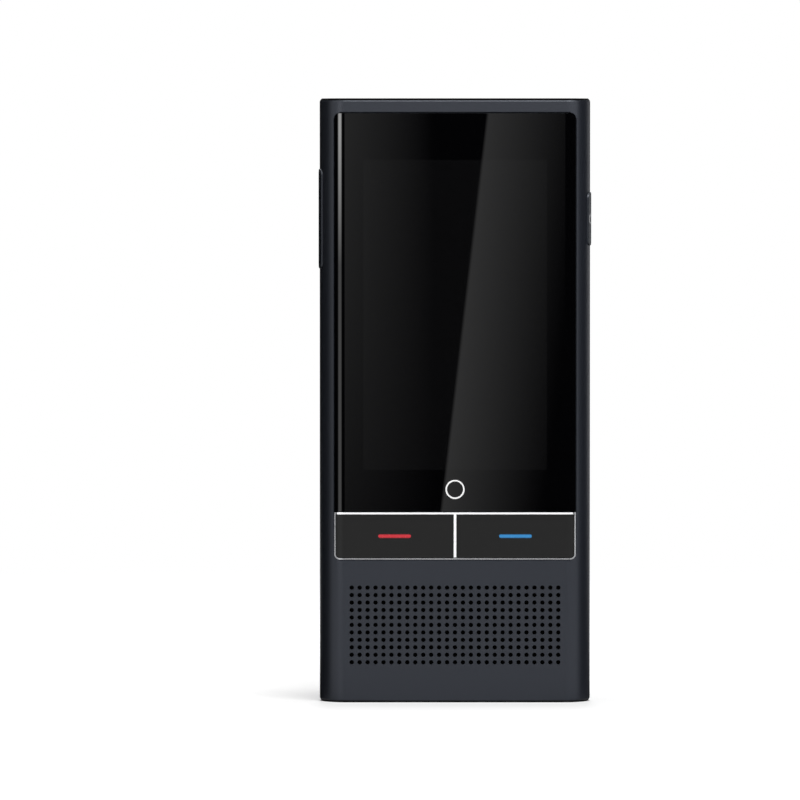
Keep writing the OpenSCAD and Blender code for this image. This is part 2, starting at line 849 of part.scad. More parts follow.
// Upright tab for the switches, on the right
module frame_tab(length)
    block([tab_x - fit, button_y - tab_w / 2, button_z - length / 2],
        [tab_x + tab_t, button_y + tab_w / 2, button_z + length / 2]);

// Places children at the screws of the main board
module at_main_screws() for (x = [-main_screw_x, main_screw_x], z = main_screw_heights)
    translate([x, 0, z]) children();

module inner_frame() color("#9aa0a6") {
    difference() {
        union() {
            face_on(frame_front, frame_back)
                translate([0, (frame_low + frame_high) / 2])
                    rounded(frame_w, frame_high - frame_low, frame_r);
            at_main_screws() column(frame_front + fit, main_front, post_d);
        }
        at_frame_posts() column(frame_front - over, frame_back + over, screw_d + hole_play);
        at_main_screws() column(frame_front - over, main_front + over, screw_d);
        frame_notch(power_l);
        mirror([1, 0, 0]) frame_notch(volume_l);
        block([-slot_w / 2, frame_front - over, slot_z - slot_h / 2],
            [slot_w / 2, frame_back + over, slot_z + slot_h / 2]);
    }
    frame_tab(power_tab_l);
    mirror([1, 0, 0]) frame_tab(volume_tab_l);
}

module frame_screws() color("#c0c2c6") at_frame_posts() screw(frame_back, frame_screw_l - dome_play);

// ---- Main board ----

module main_board() color("#1f5a3a") difference() {
    face_on(main_front, main_back) translate([0, main_low + main_h / 2]) rounded(main_w, main_h, 1.5);
    at_main_screws() column(main_front - over, main_back + over, screw_d + hole_play);
}

module main_board_screws() color("#c0c2c6")
    at_main_screws() screw(main_back, board_t + board_lift + frame_t - dome_play);

// Shield can on the main board between x0 and x1
module can(x0, x1) difference() {
    block([x0, main_back, can_low], [x1, main_back + shield_h, can_high]);
    block([x0 + can_t, main_back - over, can_low + can_t],
        [x1 - can_t, main_back + shield_h - can_t, can_high - can_t]);
}

module processor_shield() color("#b9bcc1") can(processor_x[0], processor_x[1]);

module radio_shield() color("#b9bcc1") can(radio_x[0], radio_x[1]);

// Chip on the main board, l square, with its middle at x and z
module chip(x, z, l) block([x - l / 2, main_back, z - l / 2], [x + l / 2, main_back + chip_h, z + l / 2]);

module board_chips() color("#1c1c1e") {
    chip(processor_x[0] + chip_margin + processor_l / 2, processor_z, processor_l);
    chip(processor_x[1] - chip_margin - memory_l / 2, processor_z, memory_l);
    chip((radio_x[0] + radio_x[1]) / 2, can_low + radio_margin + radio_l / 2, radio_l);
    chip((radio_x[0] + radio_x[1]) / 2, can_high - filter_margin - filter_l / 2, filter_l);
}

// Connector on the rear face of a board at y, w wide and plug_l high
module plug(x, y, z, w) block([x - w / 2, y, z - plug_l / 2], [x + w / 2, y + plug_h, z + plug_l / 2]);

module board_connectors() color("#e2dccb") {
    plug(0, main_back, display_plug_z, slot_w - 3);
    plug(0, main_back, main_plug_z, main_ribbon_w);
    plug(lead_x, main_back, main_plug_z, lead_w);
    for (side = [0, 1]) mirror([side, 0, 0])
        block([side_plug_x, main_back, button_z - plug_l],
            [side_plug_x + plug_l, main_back + plug_h, button_z + plug_l]);
    plug(0, port_board_back, port_plug_z, main_ribbon_w);
    plug(key_ribbon_x, port_board_back, key_plug_z, key_ribbon_w);
}

// ---- Battery and ribbons ----

module battery() color("#5b6068") face_on(frame_back + tape_t, battery_back)
    translate([0, battery_low + battery_h / 2]) rounded(battery_w, battery_h, 1.5);

module battery_tape() color("#e8e4d8")
    block([-battery_w / 2 + tape_in, frame_back, battery_low + tape_in],
        [battery_w / 2 - tape_in, frame_back + tape_t, battery_low + battery_h - tape_in]);

module battery_cushions() color("#26262a") for (side = [0, 1]) mirror([side, 0, 0])
    block([cushion_x[0], battery_back, battery_low + cushion_end],
        [cushion_x[1], back - wall - fit, battery_high - cushion_end]);

module battery_lead() color("#b87333")
    ribbon([[battery_back - battery_t / 2, battery_high], [battery_back - battery_t / 2, battery_high + 1],
        [main_back + plug_h + ribbon_t / 2, battery_high + 2.4],
        [main_back + plug_h + ribbon_t / 2, main_plug_z]],
        lead_x - lead_w / 2, lead_x + lead_w / 2);

module main_ribbon() color("#b87333")
    ribbon([[port_board_back + plug_h + ribbon_t / 2, port_plug_z],
        [port_board_back + plug_h + ribbon_t / 2, frame_low + 1],
        [battery_back + ribbon_t / 2 + slip, battery_low - 1],
        [battery_back + ribbon_t / 2 + slip, battery_high + 1],
        [main_back + plug_h + ribbon_t / 2, battery_high + 4],
        [main_back + plug_h + ribbon_t / 2, main_plug_z]],
        -main_ribbon_w / 2, main_ribbon_w / 2);

module key_ribbon() color("#b87333")
    ribbon([[key_board_front - ribbon_t / 2, key_board_low + 1.5],
        [key_board_front - ribbon_t / 2, key_ribbon_z],
        [port_board_back + plug_h + ribbon_t / 2, key_ribbon_z],
        [port_board_back + plug_h + ribbon_t / 2, key_plug_z]],
        key_ribbon_x - key_ribbon_w / 2, key_ribbon_x + key_ribbon_w / 2);

// ---- Loudspeaker ----

// Rectangle in front view round the middle of the grille
module speaker_area(dw, dh) translate([0, grille_z]) square([speaker_w + dw, speaker_h + dh], center = true);

module speaker_mesh() color("#17181b") face_on(front + wall, front + wall + mesh_t) speaker_area(0, 0);

module speaker_gasket() color("#26262a") face_on(front + wall + mesh_t, speaker_front) difference() {
    speaker_area(0, 0);
    speaker_area(-2 * gasket_w, -2 * gasket_w);
}

module speaker_box() color("#202124") difference() {
    face_on(speaker_front, speaker_front + speaker_t) speaker_area(0, 0);
    face_on(speaker_front - over, speaker_front + driver_t + fit) speaker_driver_outline(fit);
    face_on(speaker_front + driver_t, speaker_front + speaker_t - 1) speaker_driver_outline(-1);
}

// Outline of the driver, made larger by play on every side
module speaker_driver_outline(play = 0)
    translate([0, grille_z]) rounded(driver_w + 2 * play, driver_h + 2 * play, 2);

module speaker_driver() color("#3a3b3f") difference() {
    face_on(speaker_front, speaker_front + driver_t) speaker_driver_outline();
    face_on(speaker_front - over, speaker_front + cone_t) speaker_driver_outline(-1.6);
}

// ---- Charging port and port board ----

// Prism of the port's outline, made larger by grow, from z0 to z1
module port_prism(grow, z0, z1)
    translate([0, 0, z0]) linear_extrude(z1 - z0) rotate(90) pill(port_w + grow, port_h + grow);

module port_shell() color("#b4b7bc") difference() {
    port_prism(0, port_recess, port_recess + port_l);
    port_prism(-2 * port_t, port_recess - over, port_recess + port_l + over);
}

module port_tongue() color("#18191b") {
    block([-tongue_w / 2, -tongue_t / 2, port_recess + tongue_recess],
        [tongue_w / 2, tongue_t / 2, port_recess + port_l - 1]);
    port_prism(-2 * port_t - 2 * slip, port_recess + port_l - tongue_base, port_recess + port_l);
}

module port_board() color("#1f5a3a") difference() {
    face_on(port_board_front, port_board_back)
        translate([0, (port_board_low + port_board_high) / 2])
            rounded(frame_w - 0.4, port_board_high - port_board_low, 1);
    at_port_posts() column(port_board_front - over, port_board_back + over, screw_d + hole_play);
}

module port_board_screws() color("#c0c2c6") at_port_posts()
    screw(port_board_back, port_screw_l + board_t - dome_play);

// ---- Microphones and antenna ----

module lower_mic() color("#c9b37a")
    block([mic_x - mic_l / 2, port_board_front - mic_h, cap_t + boot_h],
        [mic_x + mic_l / 2, port_board_front, cap_t + boot_h + mic_w]);

module lower_mic_boot() color("#26262a") difference() {
    block([mic_x - mic_l / 2, port_board_front - mic_h, cap_t],
        [mic_x + mic_l / 2, port_board_front, cap_t + boot_h]);
    translate([mic_x, lower_mic_y, 0]) cylinder(h = cap_t + boot_h + over, d = mic_hole * 0.6);
}

module upper_mic() color("#c9b37a")
    block([-mic_x - mic_l / 2, upper_mic_y - mic_w / 2, carrier_high],
        [-mic_x + mic_l / 2, upper_mic_y + mic_w / 2, carrier_high + mic_h]);

module upper_mic_boot() color("#26262a") difference() {
    block([-mic_x - mic_l / 2, upper_mic_y - mic_w / 2, carrier_high + mic_h],
        [-mic_x + mic_l / 2, upper_mic_y + mic_w / 2, cap_low]);
    translate([-mic_x, upper_mic_y, carrier_high]) cylinder(h = body_h, d = mic_hole);
}

module antenna_carrier() color("#2a2b2f") {
    difference() {
        block([-carrier_w / 2, carrier_back - carrier_t, carrier_low],
            [carrier_w / 2, carrier_back, carrier_high]);
        block([-carrier_w / 2 + 1, carrier_back - carrier_t - over, carrier_low + 1],
            [carrier_w / 2 - 1, carrier_back - 1, carrier_high - 1]);
    }
    for (side = [0, 1]) mirror([side, 0, 0])
        block([carrier_w / 2 - carrier_leg, frame_back, carrier_high - carrier_leg],
            [carrier_w / 2, carrier_back - fit, carrier_high]);
}

module antenna_foil() color("#d0a85c") face_on(carrier_back, carrier_back + foil_t) difference() {
    translate([-carrier_w / 2 + foil_in, carrier_low + foil_in])
        square([carrier_w - 2 * foil_in, carrier_high - carrier_low - 2 * foil_in]);
    for (i = [1, 2])
        translate([(i - 1.5) * foil_turn - carrier_w / 2, carrier_low + i * (carrier_high - carrier_low) / 3])
            square([carrier_w, foil_slot]);
}

front_housing();
rear_cover();
top_cap();
bottom_cap();
cover_glass();
glass_adhesive();
key_trim();
left_key();
right_key();
left_key_light();
right_key_light();
power_button();
volume_rocker();
display_panel();
display_bond();
display_cushion();
display_ribbon();
inner_frame();
frame_screws();
key_board();
key_switches();
key_leds();
key_ribbon();
power_switch();
power_ribbon();
volume_switches();
volume_ribbon();
main_board();
main_board_screws();
board_chips();
processor_shield();
radio_shield();
board_connectors();
battery();
battery_tape();
battery_cushions();
battery_lead();
main_ribbon();
speaker_mesh();
speaker_gasket();
speaker_box();
speaker_driver();
port_board();
port_board_screws();
port_shell();
port_tongue();
lower_mic();
lower_mic_boot();
upper_mic();
upper_mic_boot();
antenna_carrier();
antenna_foil();
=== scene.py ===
"""Handheld voice translator: finishes, eased pieces, port contacts, floor, light and camera.

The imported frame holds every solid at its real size. The pieces that show are merged copies of those solids
with eased edges. +Z is up, the screen faces -Y, and every length is in metres.
"""

import json
import math

import bpy
from bpy.props import FloatProperty, FloatVectorProperty, PointerProperty
from mathutils import Matrix, Vector


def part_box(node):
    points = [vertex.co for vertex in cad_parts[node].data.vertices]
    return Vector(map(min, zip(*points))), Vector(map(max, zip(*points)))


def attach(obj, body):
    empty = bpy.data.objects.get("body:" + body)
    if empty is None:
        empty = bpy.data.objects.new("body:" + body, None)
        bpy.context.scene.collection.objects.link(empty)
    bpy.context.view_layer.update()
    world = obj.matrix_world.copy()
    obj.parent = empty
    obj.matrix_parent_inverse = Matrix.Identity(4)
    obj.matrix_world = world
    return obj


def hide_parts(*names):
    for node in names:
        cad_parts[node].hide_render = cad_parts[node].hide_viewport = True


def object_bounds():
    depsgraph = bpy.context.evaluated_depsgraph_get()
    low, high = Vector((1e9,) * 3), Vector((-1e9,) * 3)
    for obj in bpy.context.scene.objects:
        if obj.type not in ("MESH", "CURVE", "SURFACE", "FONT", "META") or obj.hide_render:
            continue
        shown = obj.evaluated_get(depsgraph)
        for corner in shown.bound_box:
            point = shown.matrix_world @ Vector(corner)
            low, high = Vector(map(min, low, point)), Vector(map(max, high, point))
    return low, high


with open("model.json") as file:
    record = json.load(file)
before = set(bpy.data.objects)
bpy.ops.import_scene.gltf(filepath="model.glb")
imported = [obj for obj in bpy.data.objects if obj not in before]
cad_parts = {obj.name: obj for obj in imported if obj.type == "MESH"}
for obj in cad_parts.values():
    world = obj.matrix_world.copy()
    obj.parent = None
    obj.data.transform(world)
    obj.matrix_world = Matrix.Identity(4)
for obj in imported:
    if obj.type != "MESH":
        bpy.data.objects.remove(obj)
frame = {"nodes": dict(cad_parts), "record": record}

bl_info = {
    "name": "Handheld Translator",
    "version": (1, 0, 0),
    "blender": (4, 5, 0),
    "location": "View3D > Sidebar > Translator",
    "description": "Finishes and fine pieces of a handheld voice translator",
    "category": "Object",
}

CAD_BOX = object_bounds()
MM = 0.001
SLACK = 0.02 * MM  # a point this near to a plane lies on it
FRONT_REACH = 0.9 * MM  # the keys' and the trim's front edges lie this near to their front
TRIM_SIDE = Vector((0.6, 0, 0.5)) * MM  # reach of the trim's thin sides, in from its outline
CONTACTS = 12  # on each side of the port's tongue
PICTURE = 800  # pixels across the square picture


class SECTION:
    """Cross-section of the body: a corner arc that runs into the flank's arc in the direction turn."""

    turn_x, turn_y = 0.8, 0.6
    corner_r = 4.7 * MM
    half_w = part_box("front_housing")[1][0]
    half_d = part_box("rear_cover")[1][1]
    corner_y = half_d - corner_r
    flank_r = corner_r + corner_y / turn_y
    flank_x = half_w - flank_r
    corner_x = flank_x + (flank_r - corner_r) * turn_x


def linear(colour):
    """An sRGB hex colour as linear RGBA."""
    parts = [int(colour[i : i + 2], 16) / 255 for i in (1, 3, 5)]
    return tuple(p / 12.92 if p <= 0.04045 else ((p + 0.055) / 1.055) ** 2.4 for p in parts) + (1.0,)


def darker(colour, share):
    """A linear RGBA colour at a share of its light."""
    return tuple(c * share for c in colour[:3]) + (1.0,)


def colour_property(name, description, colour):
    return FloatVectorProperty(name=name, description=description, default=linear(colour), size=4,
                               subtype="COLOR", min=0, max=1)


def length_property(name, description, size_mm):
    return FloatProperty(name=name, description=description, default=size_mm * MM, unit="LENGTH", precision=5)


def power_property(name, description, watts):
    return FloatProperty(name=name, description=description, default=watts, unit="POWER", min=0)


class TranslatorFinishes(bpy.types.PropertyGroup):
    """Colours of what shows from outside."""

    lacquer: colour_property("Lacquer", "Housing and rear cover", "#22252c")
    # Darker than the lacquer: partly painted shade, for the buttons sit on the flanks that the light leaves
    # dark
    button: colour_property("Buttons", "Power button and volume rocker", "#161a20")
    cap: colour_property("End caps", "Black plugs at both ends", "#0b0b0d")
    print_black: colour_property("Print", "Black print behind the glass", "#030304")
    panel: colour_property("Panel", "Display that is switched off", "#0a0a0b")
    key: colour_property("Keys", "Both speech keys", "#161616")
    chrome: colour_property("Trim's bars", "Broad bars of the trim round the keys", "#fafafc")
    nickel: colour_property("Trim's sides", "Thin sides of that trim", "#babbbe")
    red: colour_property("Red light", "Light bar of the left key", "#d8303c")
    blue: colour_property("Blue light", "Light bar of the right key", "#3490d2")
    mark: colour_property("Marks", "Ring on the glass and symbol on the power button", "#ffffff")


class TranslatorSizes(bpy.types.PropertyGroup):
    """Sizes of eased edges, marks and contacts."""

    rim_ease: length_property("Rim", "Easing of the outer edge round both ends", 0.32)
    edge_ease: length_property("Edges", "Easing of the casing's other edges", 0.07)
    key_ease: length_property("Keys", "Easing of the speech keys", 0.1)
    button_ease: length_property("Buttons", "Easing of the side buttons", 0.09)
    trim_ease: length_property("Trim", "Easing of the bright trim", 0.05)
    trim_side_ease: length_property("Trim's sides", "Easing of the trim's thin sides and lower side", 0.13)
    cap_ease: length_property("Caps", "Easing of the end caps", 0.1)
    port_ease: length_property("Port", "Easing of the port's mouth", 0.08)
    screen_low: length_property("Screen's lower border", "From the bond's lower end to the picture", 2.5)
    screen_high: length_property("Screen's upper border", "From the bond's upper end to the picture", 3.4)
    ring_z: length_property("Ring height", "Height of the ring's middle", 45.37)
    ring_d: length_property("Ring diameter", "Middle of the ring's line", 3.74)
    ring_line: length_property("Ring line", "Width of the ring's line", 0.32)
    symbol_d: length_property("Symbol diameter", "Middle of the power symbol's line", 1.8)
    symbol_line: length_property("Symbol line", "Width of the power symbol's line", 0.28)
    contact_pitch: length_property("Contact pitch", "From one of the port's contacts to the next", 0.5)
    contact_width: length_property("Contact width", "Width of a contact", 0.28)
    contact_reach: length_property("Contact length", "Length of a contact", 3.6)
    contact_start: length_property("Contact start", "From the tongue's end to the contacts", 0.5)
    contact_side: length_property("Contact side", "From the tongue's middle to a contact's middle", 0.35)
    contact_depth: length_property("Contact thickness", "Thickness of a contact", 0.04)


class TranslatorStage(bpy.types.PropertyGroup):
    """Camera and light."""

    camera_distance: FloatProperty(name="Distance", description="From the camera to the object", default=2.0,
                                   unit="LENGTH")
    camera_rise: FloatProperty(name="Rise", description="Height of the camera above the horizon",
                               default=math.radians(2.2), subtype="ANGLE")
    aim_x: length_property("Aim across", "Middle of the picture, on the object's front", -11.7)
    aim_z: length_property("Aim height", "Middle of the picture, above the floor", 64.4)
    pixel: length_property("Pixel", "Width at the object that one pixel covers", 0.2125)
    key_power: power_property("Key lamp", "Large soft lamp in front, above", 16)
    back_power: power_property("Back lamp", "Soft lamp behind, above", 5)
    top_power: power_property("Top lamp", "Wide soft lamp above", 5)
    base_power: power_property("Base lamp", "Soft lamp that lights the base alone", 1.5)


# ---- Nodes and meshes ----


def add(tree, kind, inputs=None, **settings):
    """Adds a shader node with its settings. An input, named by its identifier or its name, takes a value, a
    socket, or the first live output of a node."""
    node = tree.nodes.new("ShaderNode" + kind)
    for key, value in settings.items():
        setattr(node, key, value)
    for key, value in (inputs or {}).items():
        socket = next((s for s in node.inputs if s.identifier == key), None) or node.inputs[key]
        if isinstance(value, bpy.types.Node):
            value = next(output for output in value.outputs if output.enabled)
        if isinstance(value, bpy.types.NodeSocket):
            tree.links.new(value, socket)
        else:
            socket.default_value = value
    return node


def new_material(name):
    """An empty material, its tree, and the socket with the piece's own coordinates."""
    made = bpy.data.materials.new(name)
    made.use_nodes = True
    made.node_tree.nodes.clear()
    return made, made.node_tree, add(made.node_tree, "TexCoord").outputs["Object"]


def repeats(size_mm):
    """Texture scale that repeats a pattern every size_mm."""
    return 1 / (size_mm * MM)


def dress(piece, made):
    piece.data.materials.clear()
    piece.data.materials.append(made)


def select_only(piece):
    bpy.ops.object.select_all(action="DESELECT")
    piece.select_set(True)
    bpy.context.view_layer.objects.active = piece


def copy_of(node, name):
    """A merged copy of a CAD node that stands for it, rides on its body and keeps its place."""
    source = frame["nodes"][node]
    piece = source.copy()
    piece.data = source.data.copy()
    piece.name = piece.data.name = name
    bpy.context.scene.collection.objects.link(piece)
    piece.parent = None
    piece.matrix_world = Matrix()
    select_only(piece)
    if piece.data.has_custom_normals:
        bpy.ops.mesh.customdata_custom_splitnormals_clear()
    bpy.ops.object.mode_set(mode="EDIT")
    bpy.ops.mesh.select_all(action="SELECT")
    bpy.ops.mesh.remove_doubles(threshold=0.0005 * MM)
    bpy.ops.mesh.dissolve_limited(angle_limit=math.radians(0.2))
    bpy.ops.object.mode_set(mode="OBJECT")
    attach(piece, body_of(node))
    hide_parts(node)
    return piece


def body_of(node):
    """Name of the body that carries a CAD node."""
    return next(name for name, nodes in frame["record"]["behaviour"]["bodies"].items() if node in nodes)


def ease(piece, width, where, steps=2):
    """Bevels the sharp edges whose middle passes the test where."""
    select_only(piece)
    bpy.ops.object.mode_set(mode="EDIT")
    bpy.ops.mesh.select_mode(type="EDGE")
    bpy.ops.mesh.select_all(action="DESELECT")
    bpy.ops.mesh.edges_select_sharp(sharpness=math.radians(28))
    bpy.ops.object.mode_set(mode="OBJECT")
    mesh = piece.data
    for edge in mesh.edges:
        if edge.select:
            a, b = (mesh.vertices[i].co for i in edge.vertices)
            edge.select = where((a + b) / 2)
    for part in list(mesh.vertices) + list(mesh.polygons):
        part.select = False
    bpy.ops.object.mode_set(mode="EDIT")
    bpy.ops.mesh.bevel(offset=width, segments=steps, profile=0.5, clamp_overlap=True)
    bpy.ops.object.mode_set(mode="OBJECT")


def section_at(p):
    """The way straight out of the body's cross-section beside a point, and how far inside its outline the
    point lies."""
    x, y = abs(p.x), abs(p.y)
    out, reach = Vector((0, y, 0)), SECTION.half_d
    if x > SECTION.corner_x:
        out, reach = Vector((x - SECTION.corner_x, y - SECTION.corner_y, 0)), SECTION.corner_r
        if out.x * SECTION.turn_y > out.y * SECTION.turn_x:
            out, reach = Vector((x - SECTION.flank_x, y, 0)), SECTION.flank_r
    inside = reach - out.length
    return Vector((math.copysign(out.x, p.x), math.copysign(out.y, p.y), 0)).normalized(), inside


def smooth(piece, angle=32):
    """Smooth shading up to an angle. Faces that lie along the cross-section take its exact normals."""
    select_only(piece)
    bpy.ops.object.shade_smooth_by_angle(angle=math.radians(angle))
    weighted = piece.modifiers.new("weighted", "WEIGHTED_NORMAL")
    weighted.keep_sharp = True
    bpy.ops.object.modifier_apply(modifier="weighted")
    mesh = piece.data
    normals = [corner.vector.copy() for corner in mesh.corner_normals]
    near = math.cos(math.radians(12))
    for face in mesh.polygons:
        if face.normal.dot(section_at(face.center)[0]) > near:
            for i in face.loop_indices:
                normals[i] = section_at(mesh.vertices[mesh.loops[i].vertex_index].co)[0]
    mesh.normals_split_custom_set(normals)


def mark_bare_and_shaded(piece):
    """Marks the faces that are painted black: in the holes, in the button openings, inside the rims and on
    their ends. This is partly the bare moulding, which the spray doesn't reach, and partly painted shade in
    those recesses and on the ends."""
    spray_reach, end_depth, side_reach = 0.3 * MM, 0.4 * MM, 1.2 * MM
    low, high = CAD_BOX
    grille_top = box_of("speaker_mesh")[1].z + 1.5 * MM
    rim_floor = box_of("cover_glass")[1].z + 0.5 * MM
    bare = piece.data.attributes.new("bare", "FLOAT", "FACE")
    for face in piece.data.polygons:
        p, upright = face.center, abs(face.normal.z)
        inner = section_at(p)[1] > spray_reach and upright < 0.7
        in_window = grille_top < p.z < rim_floor and abs(p.x) < SECTION.half_w - side_reach
        on_end = min(p.z - low.z, high.z - p.z) < end_depth and upright > 0.55
        bare.data[face.index].value = float(on_end or inner and not in_window)


# ---- Finishes that show ----


def within(tree, place, low, high):
    """1 inside a box, 0 outside it."""
    offset = add(tree, "VectorMath", {"Vector": place, "Vector_001": (low + high) / 2}, operation="SUBTRACT")
    away = add(tree, "VectorMath", {"Vector": offset}, operation="ABSOLUTE")
    beyond = add(tree, "VectorMath", {"Vector": away, "Vector_001": (high - low) / 2}, operation="SUBTRACT")
    axes = add(tree, "SeparateXYZ", {"Vector": beyond})
    most = axes.outputs["X"]
    for other in ("Y", "Z"):
        most = add(tree, "Math", {"Value": most, "Value_001": axes.outputs[other]}, operation="MAXIMUM")
    return add(tree, "MapRange", {"Value": most, "From Min": -0.05 * MM, "From Max": 0.05 * MM,
                                  "To Min": 1.0, "To Max": 0.0})


def satin_lacquer(name, colour):
    """Metallic lacquer sprayed over moulded polycarbonate: a dark slate blue with a wide soft sheen, a grain
    of fine flakes, and the faint waviness of a sprayed coat. Marked faces are black: partly the bare
    moulding, partly painted shade in the holes and openings and on the ends."""
    made, tree, place = new_material(name)
    flakes = add(tree, "TexNoise", {"Vector": place, "Scale": repeats(0.25), "Detail": 2.0})
    cloud = add(tree, "TexNoise", {"Vector": place, "Scale": repeats(18), "Detail": 2.0})
    bare = add(tree, "Attribute", attribute_name="bare").outputs["Fac"]
    tone = add(tree, "Mix", {"Factor_Float": cloud, "A_Color": darker(colour, 0.9), "B_Color": tuple(colour)},
               data_type="RGBA")
    # Black on the marked faces: partly bare moulding, partly painted shade
    tone = add(tree, "Mix", {"Factor_Float": bare, "A_Color": tone, "B_Color": linear("#020202")},
               data_type="RGBA")
    rough = add(tree, "MapRange", {"Value": flakes, "To Min": 0.33, "To Max": 0.39})
    rough = add(tree, "Mix", {"Factor_Float": bare, "A_Float": rough, "B_Float": 0.8})
    metallic = add(tree, "MapRange", {"Value": bare, "To Min": 0.35, "To Max": 0.0})
    gloss = add(tree, "MapRange", {"Value": bare, "To Min": 0.5, "To Max": 0.04})
    relief = add(tree, "Bump", {"Height": flakes, "Strength": 0.08, "Distance": 0.02 * MM})
    shader = add(tree, "BsdfPrincipled", {
        "Base Color": tone, "Metallic": metallic, "Roughness": rough, "IOR": 1.5, "Normal": relief,
        "Specular IOR Level": gloss, "Specular Tint": linear("#f4f7fe")})
    add(tree, "OutputMaterial", {"Surface": shader})
    return made


def etched_moulding(colour):
    """Black polycarbonate from a finely etched mould: a deep black that stays dark at a shallow angle too,
    with the odd faint swirl."""
    made, tree, place = new_material("etched_black_moulding")
    swirl = add(tree, "TexNoise", {"Vector": place, "Scale": repeats(6), "Detail": 3.0, "Distortion": 1.0})
    rough = add(tree, "MapRange", {"Value": swirl, "To Min": 0.3, "To Max": 0.4})
    relief = add(tree, "Bump", {"Height": swirl, "Strength": 0.03, "Distance": 0.1 * MM})
    shader = add(tree, "BsdfPrincipled", {"Base Color": tuple(colour), "Roughness": rough, "IOR": 1.58,
                                          "Specular IOR Level": 0.01, "Normal": relief})
    add(tree, "OutputMaterial", {"Surface": shader})
    return made


def apart(tree, value, other):
    """How far one value is from another."""
    between = add(tree, "Math", {"Value": value, "Value_001": other}, operation="SUBTRACT")
    return add(tree, "Math", {"Value": between}, operation="ABSOLUTE")


def line_mask(tree, distance, half_line):
    """1 on a line, 0 off it, with a soft edge; distance is measured from the middle of the line."""
    return add(tree, "MapRange", {"Value": distance, "From Min": half_line - 0.02 * MM,
                                  "From Max": half_line + 0.02 * MM, "To Min": 1.0, "To Max": 0.0},
               interpolation_type="SMOOTHSTEP")


def ring_distance(tree, place, centre, flatten, radius):
    """Distance from a ring's line, seen along one axis, and the offset from its middle."""
    offset = add(tree, "VectorMath", {"Vector": place, "Vector_001": centre}, operation="SUBTRACT")
    flat = add(tree, "VectorMath", {"Vector": offset, "Vector_001": flatten}, operation="MULTIPLY")
    reach = add(tree, "VectorMath", {"Vector": flat}, operation="LENGTH").outputs["Value"]
    return apart(tree, reach, radius), flat


def printed_glass(finishes, sizes, panel):
    """Cover glass, drawn and polished, over black print and a display that is off: a black mirror, in which
    the panel's rectangle only just shows, with a white ring in front of the home key."""
    made, tree, place = new_material("printed_cover_glass")
    low, high = panel
    shown = within(tree, place, Vector((low.x, CAD_BOX[0].y - MM, low.z + sizes.screen_low)),
                   Vector((high.x, high.y, high.z - sizes.screen_high)))
    black = add(tree, "Mix", {"Factor_Float": shown, "A_Color": tuple(finishes.print_black),
                              "B_Color": tuple(finishes.panel)}, data_type="RGBA")
    distance, _ = ring_distance(tree, place, (0, 0, sizes.ring_z), (1, 0, 1), sizes.ring_d / 2)
    ring = line_mask(tree, distance, sizes.ring_line / 2)
    colour = add(tree, "Mix", {"Factor_Float": ring, "A_Color": black, "B_Color": tuple(finishes.mark)},
                 data_type="RGBA")
    wave = add(tree, "TexNoise", {"Vector": place, "Scale": repeats(30), "Detail": 1.0})
    rough = add(tree, "MapRange", {"Value": wave, "To Min": 0.004, "To Max": 0.012})
    shader = add(tree, "BsdfPrincipled", {"Base Color": colour, "Roughness": rough, "IOR": 1.52})
    add(tree, "OutputMaterial", {"Surface": shader})
    return made


def bright_plating(finishes, box):
    """Chrome over nickel on a moulded rim, with fine polishing marks: the broad bars beside the glass and
    between the keys are brushed to a white satin, and the thin sides are polished to a deeper grey."""
    made, tree, place = new_material("bright_plating")
    low, high = box
    broad = within(tree, place, low + TRIM_SIDE - Vector((0, MM, 0)), high + Vector((-TRIM_SIDE.x, MM, MM)))
    marks = add(tree, "TexNoise", {"Vector": place, "Scale": repeats(0.4), "Detail": 4.0})
    polished = add(tree, "MapRange", {"Value": marks, "To Min": 0.17, "To Max": 0.23})
    satin = add(tree, "MapRange", {"Value": marks, "To Min": 0.34, "To Max": 0.42})
    rough = add(tree, "Mix", {"Factor_Float": broad, "A_Float": polished, "B_Float": satin})
    tone = add(tree, "Mix", {"Factor_Float": broad, "A_Color": tuple(finishes.nickel),
                             "B_Color": tuple(finishes.chrome)}, data_type="RGBA")
    shader = add(tree, "BsdfPrincipled", {"Base Color": tone, "Metallic": 1.0, "Roughness": rough})
    add(tree, "OutputMaterial", {"Surface": shader})
    return made


def fine_matte_moulding(colour):
    """Polycarbonate keys from a spark-eroded mould: a neutral near-black with a fine, even grit."""
    made, tree, place = new_material("fine_matte_moulding")
    grit = add(tree, "TexNoise", {"Vector": place, "Scale": repeats(0.12), "Detail": 2.0})
    tone = add(tree, "Mix", {"Factor_Float": grit, "A_Color": darker(colour, 0.85), "B_Color": tuple(colour)},
               data_type="RGBA")
    rough = add(tree, "MapRange", {"Value": grit, "To Min": 0.3, "To Max": 0.38})
    relief = add(tree, "Bump", {"Height": grit, "Strength": 0.15, "Distance": 0.015 * MM})
    shader = add(tree, "BsdfPrincipled", {"Base Color": tone, "Roughness": rough, "IOR": 1.5,
                                          "Specular IOR Level": 0.2, "Normal": relief})
    add(tree, "OutputMaterial", {"Surface": shader})
    return made


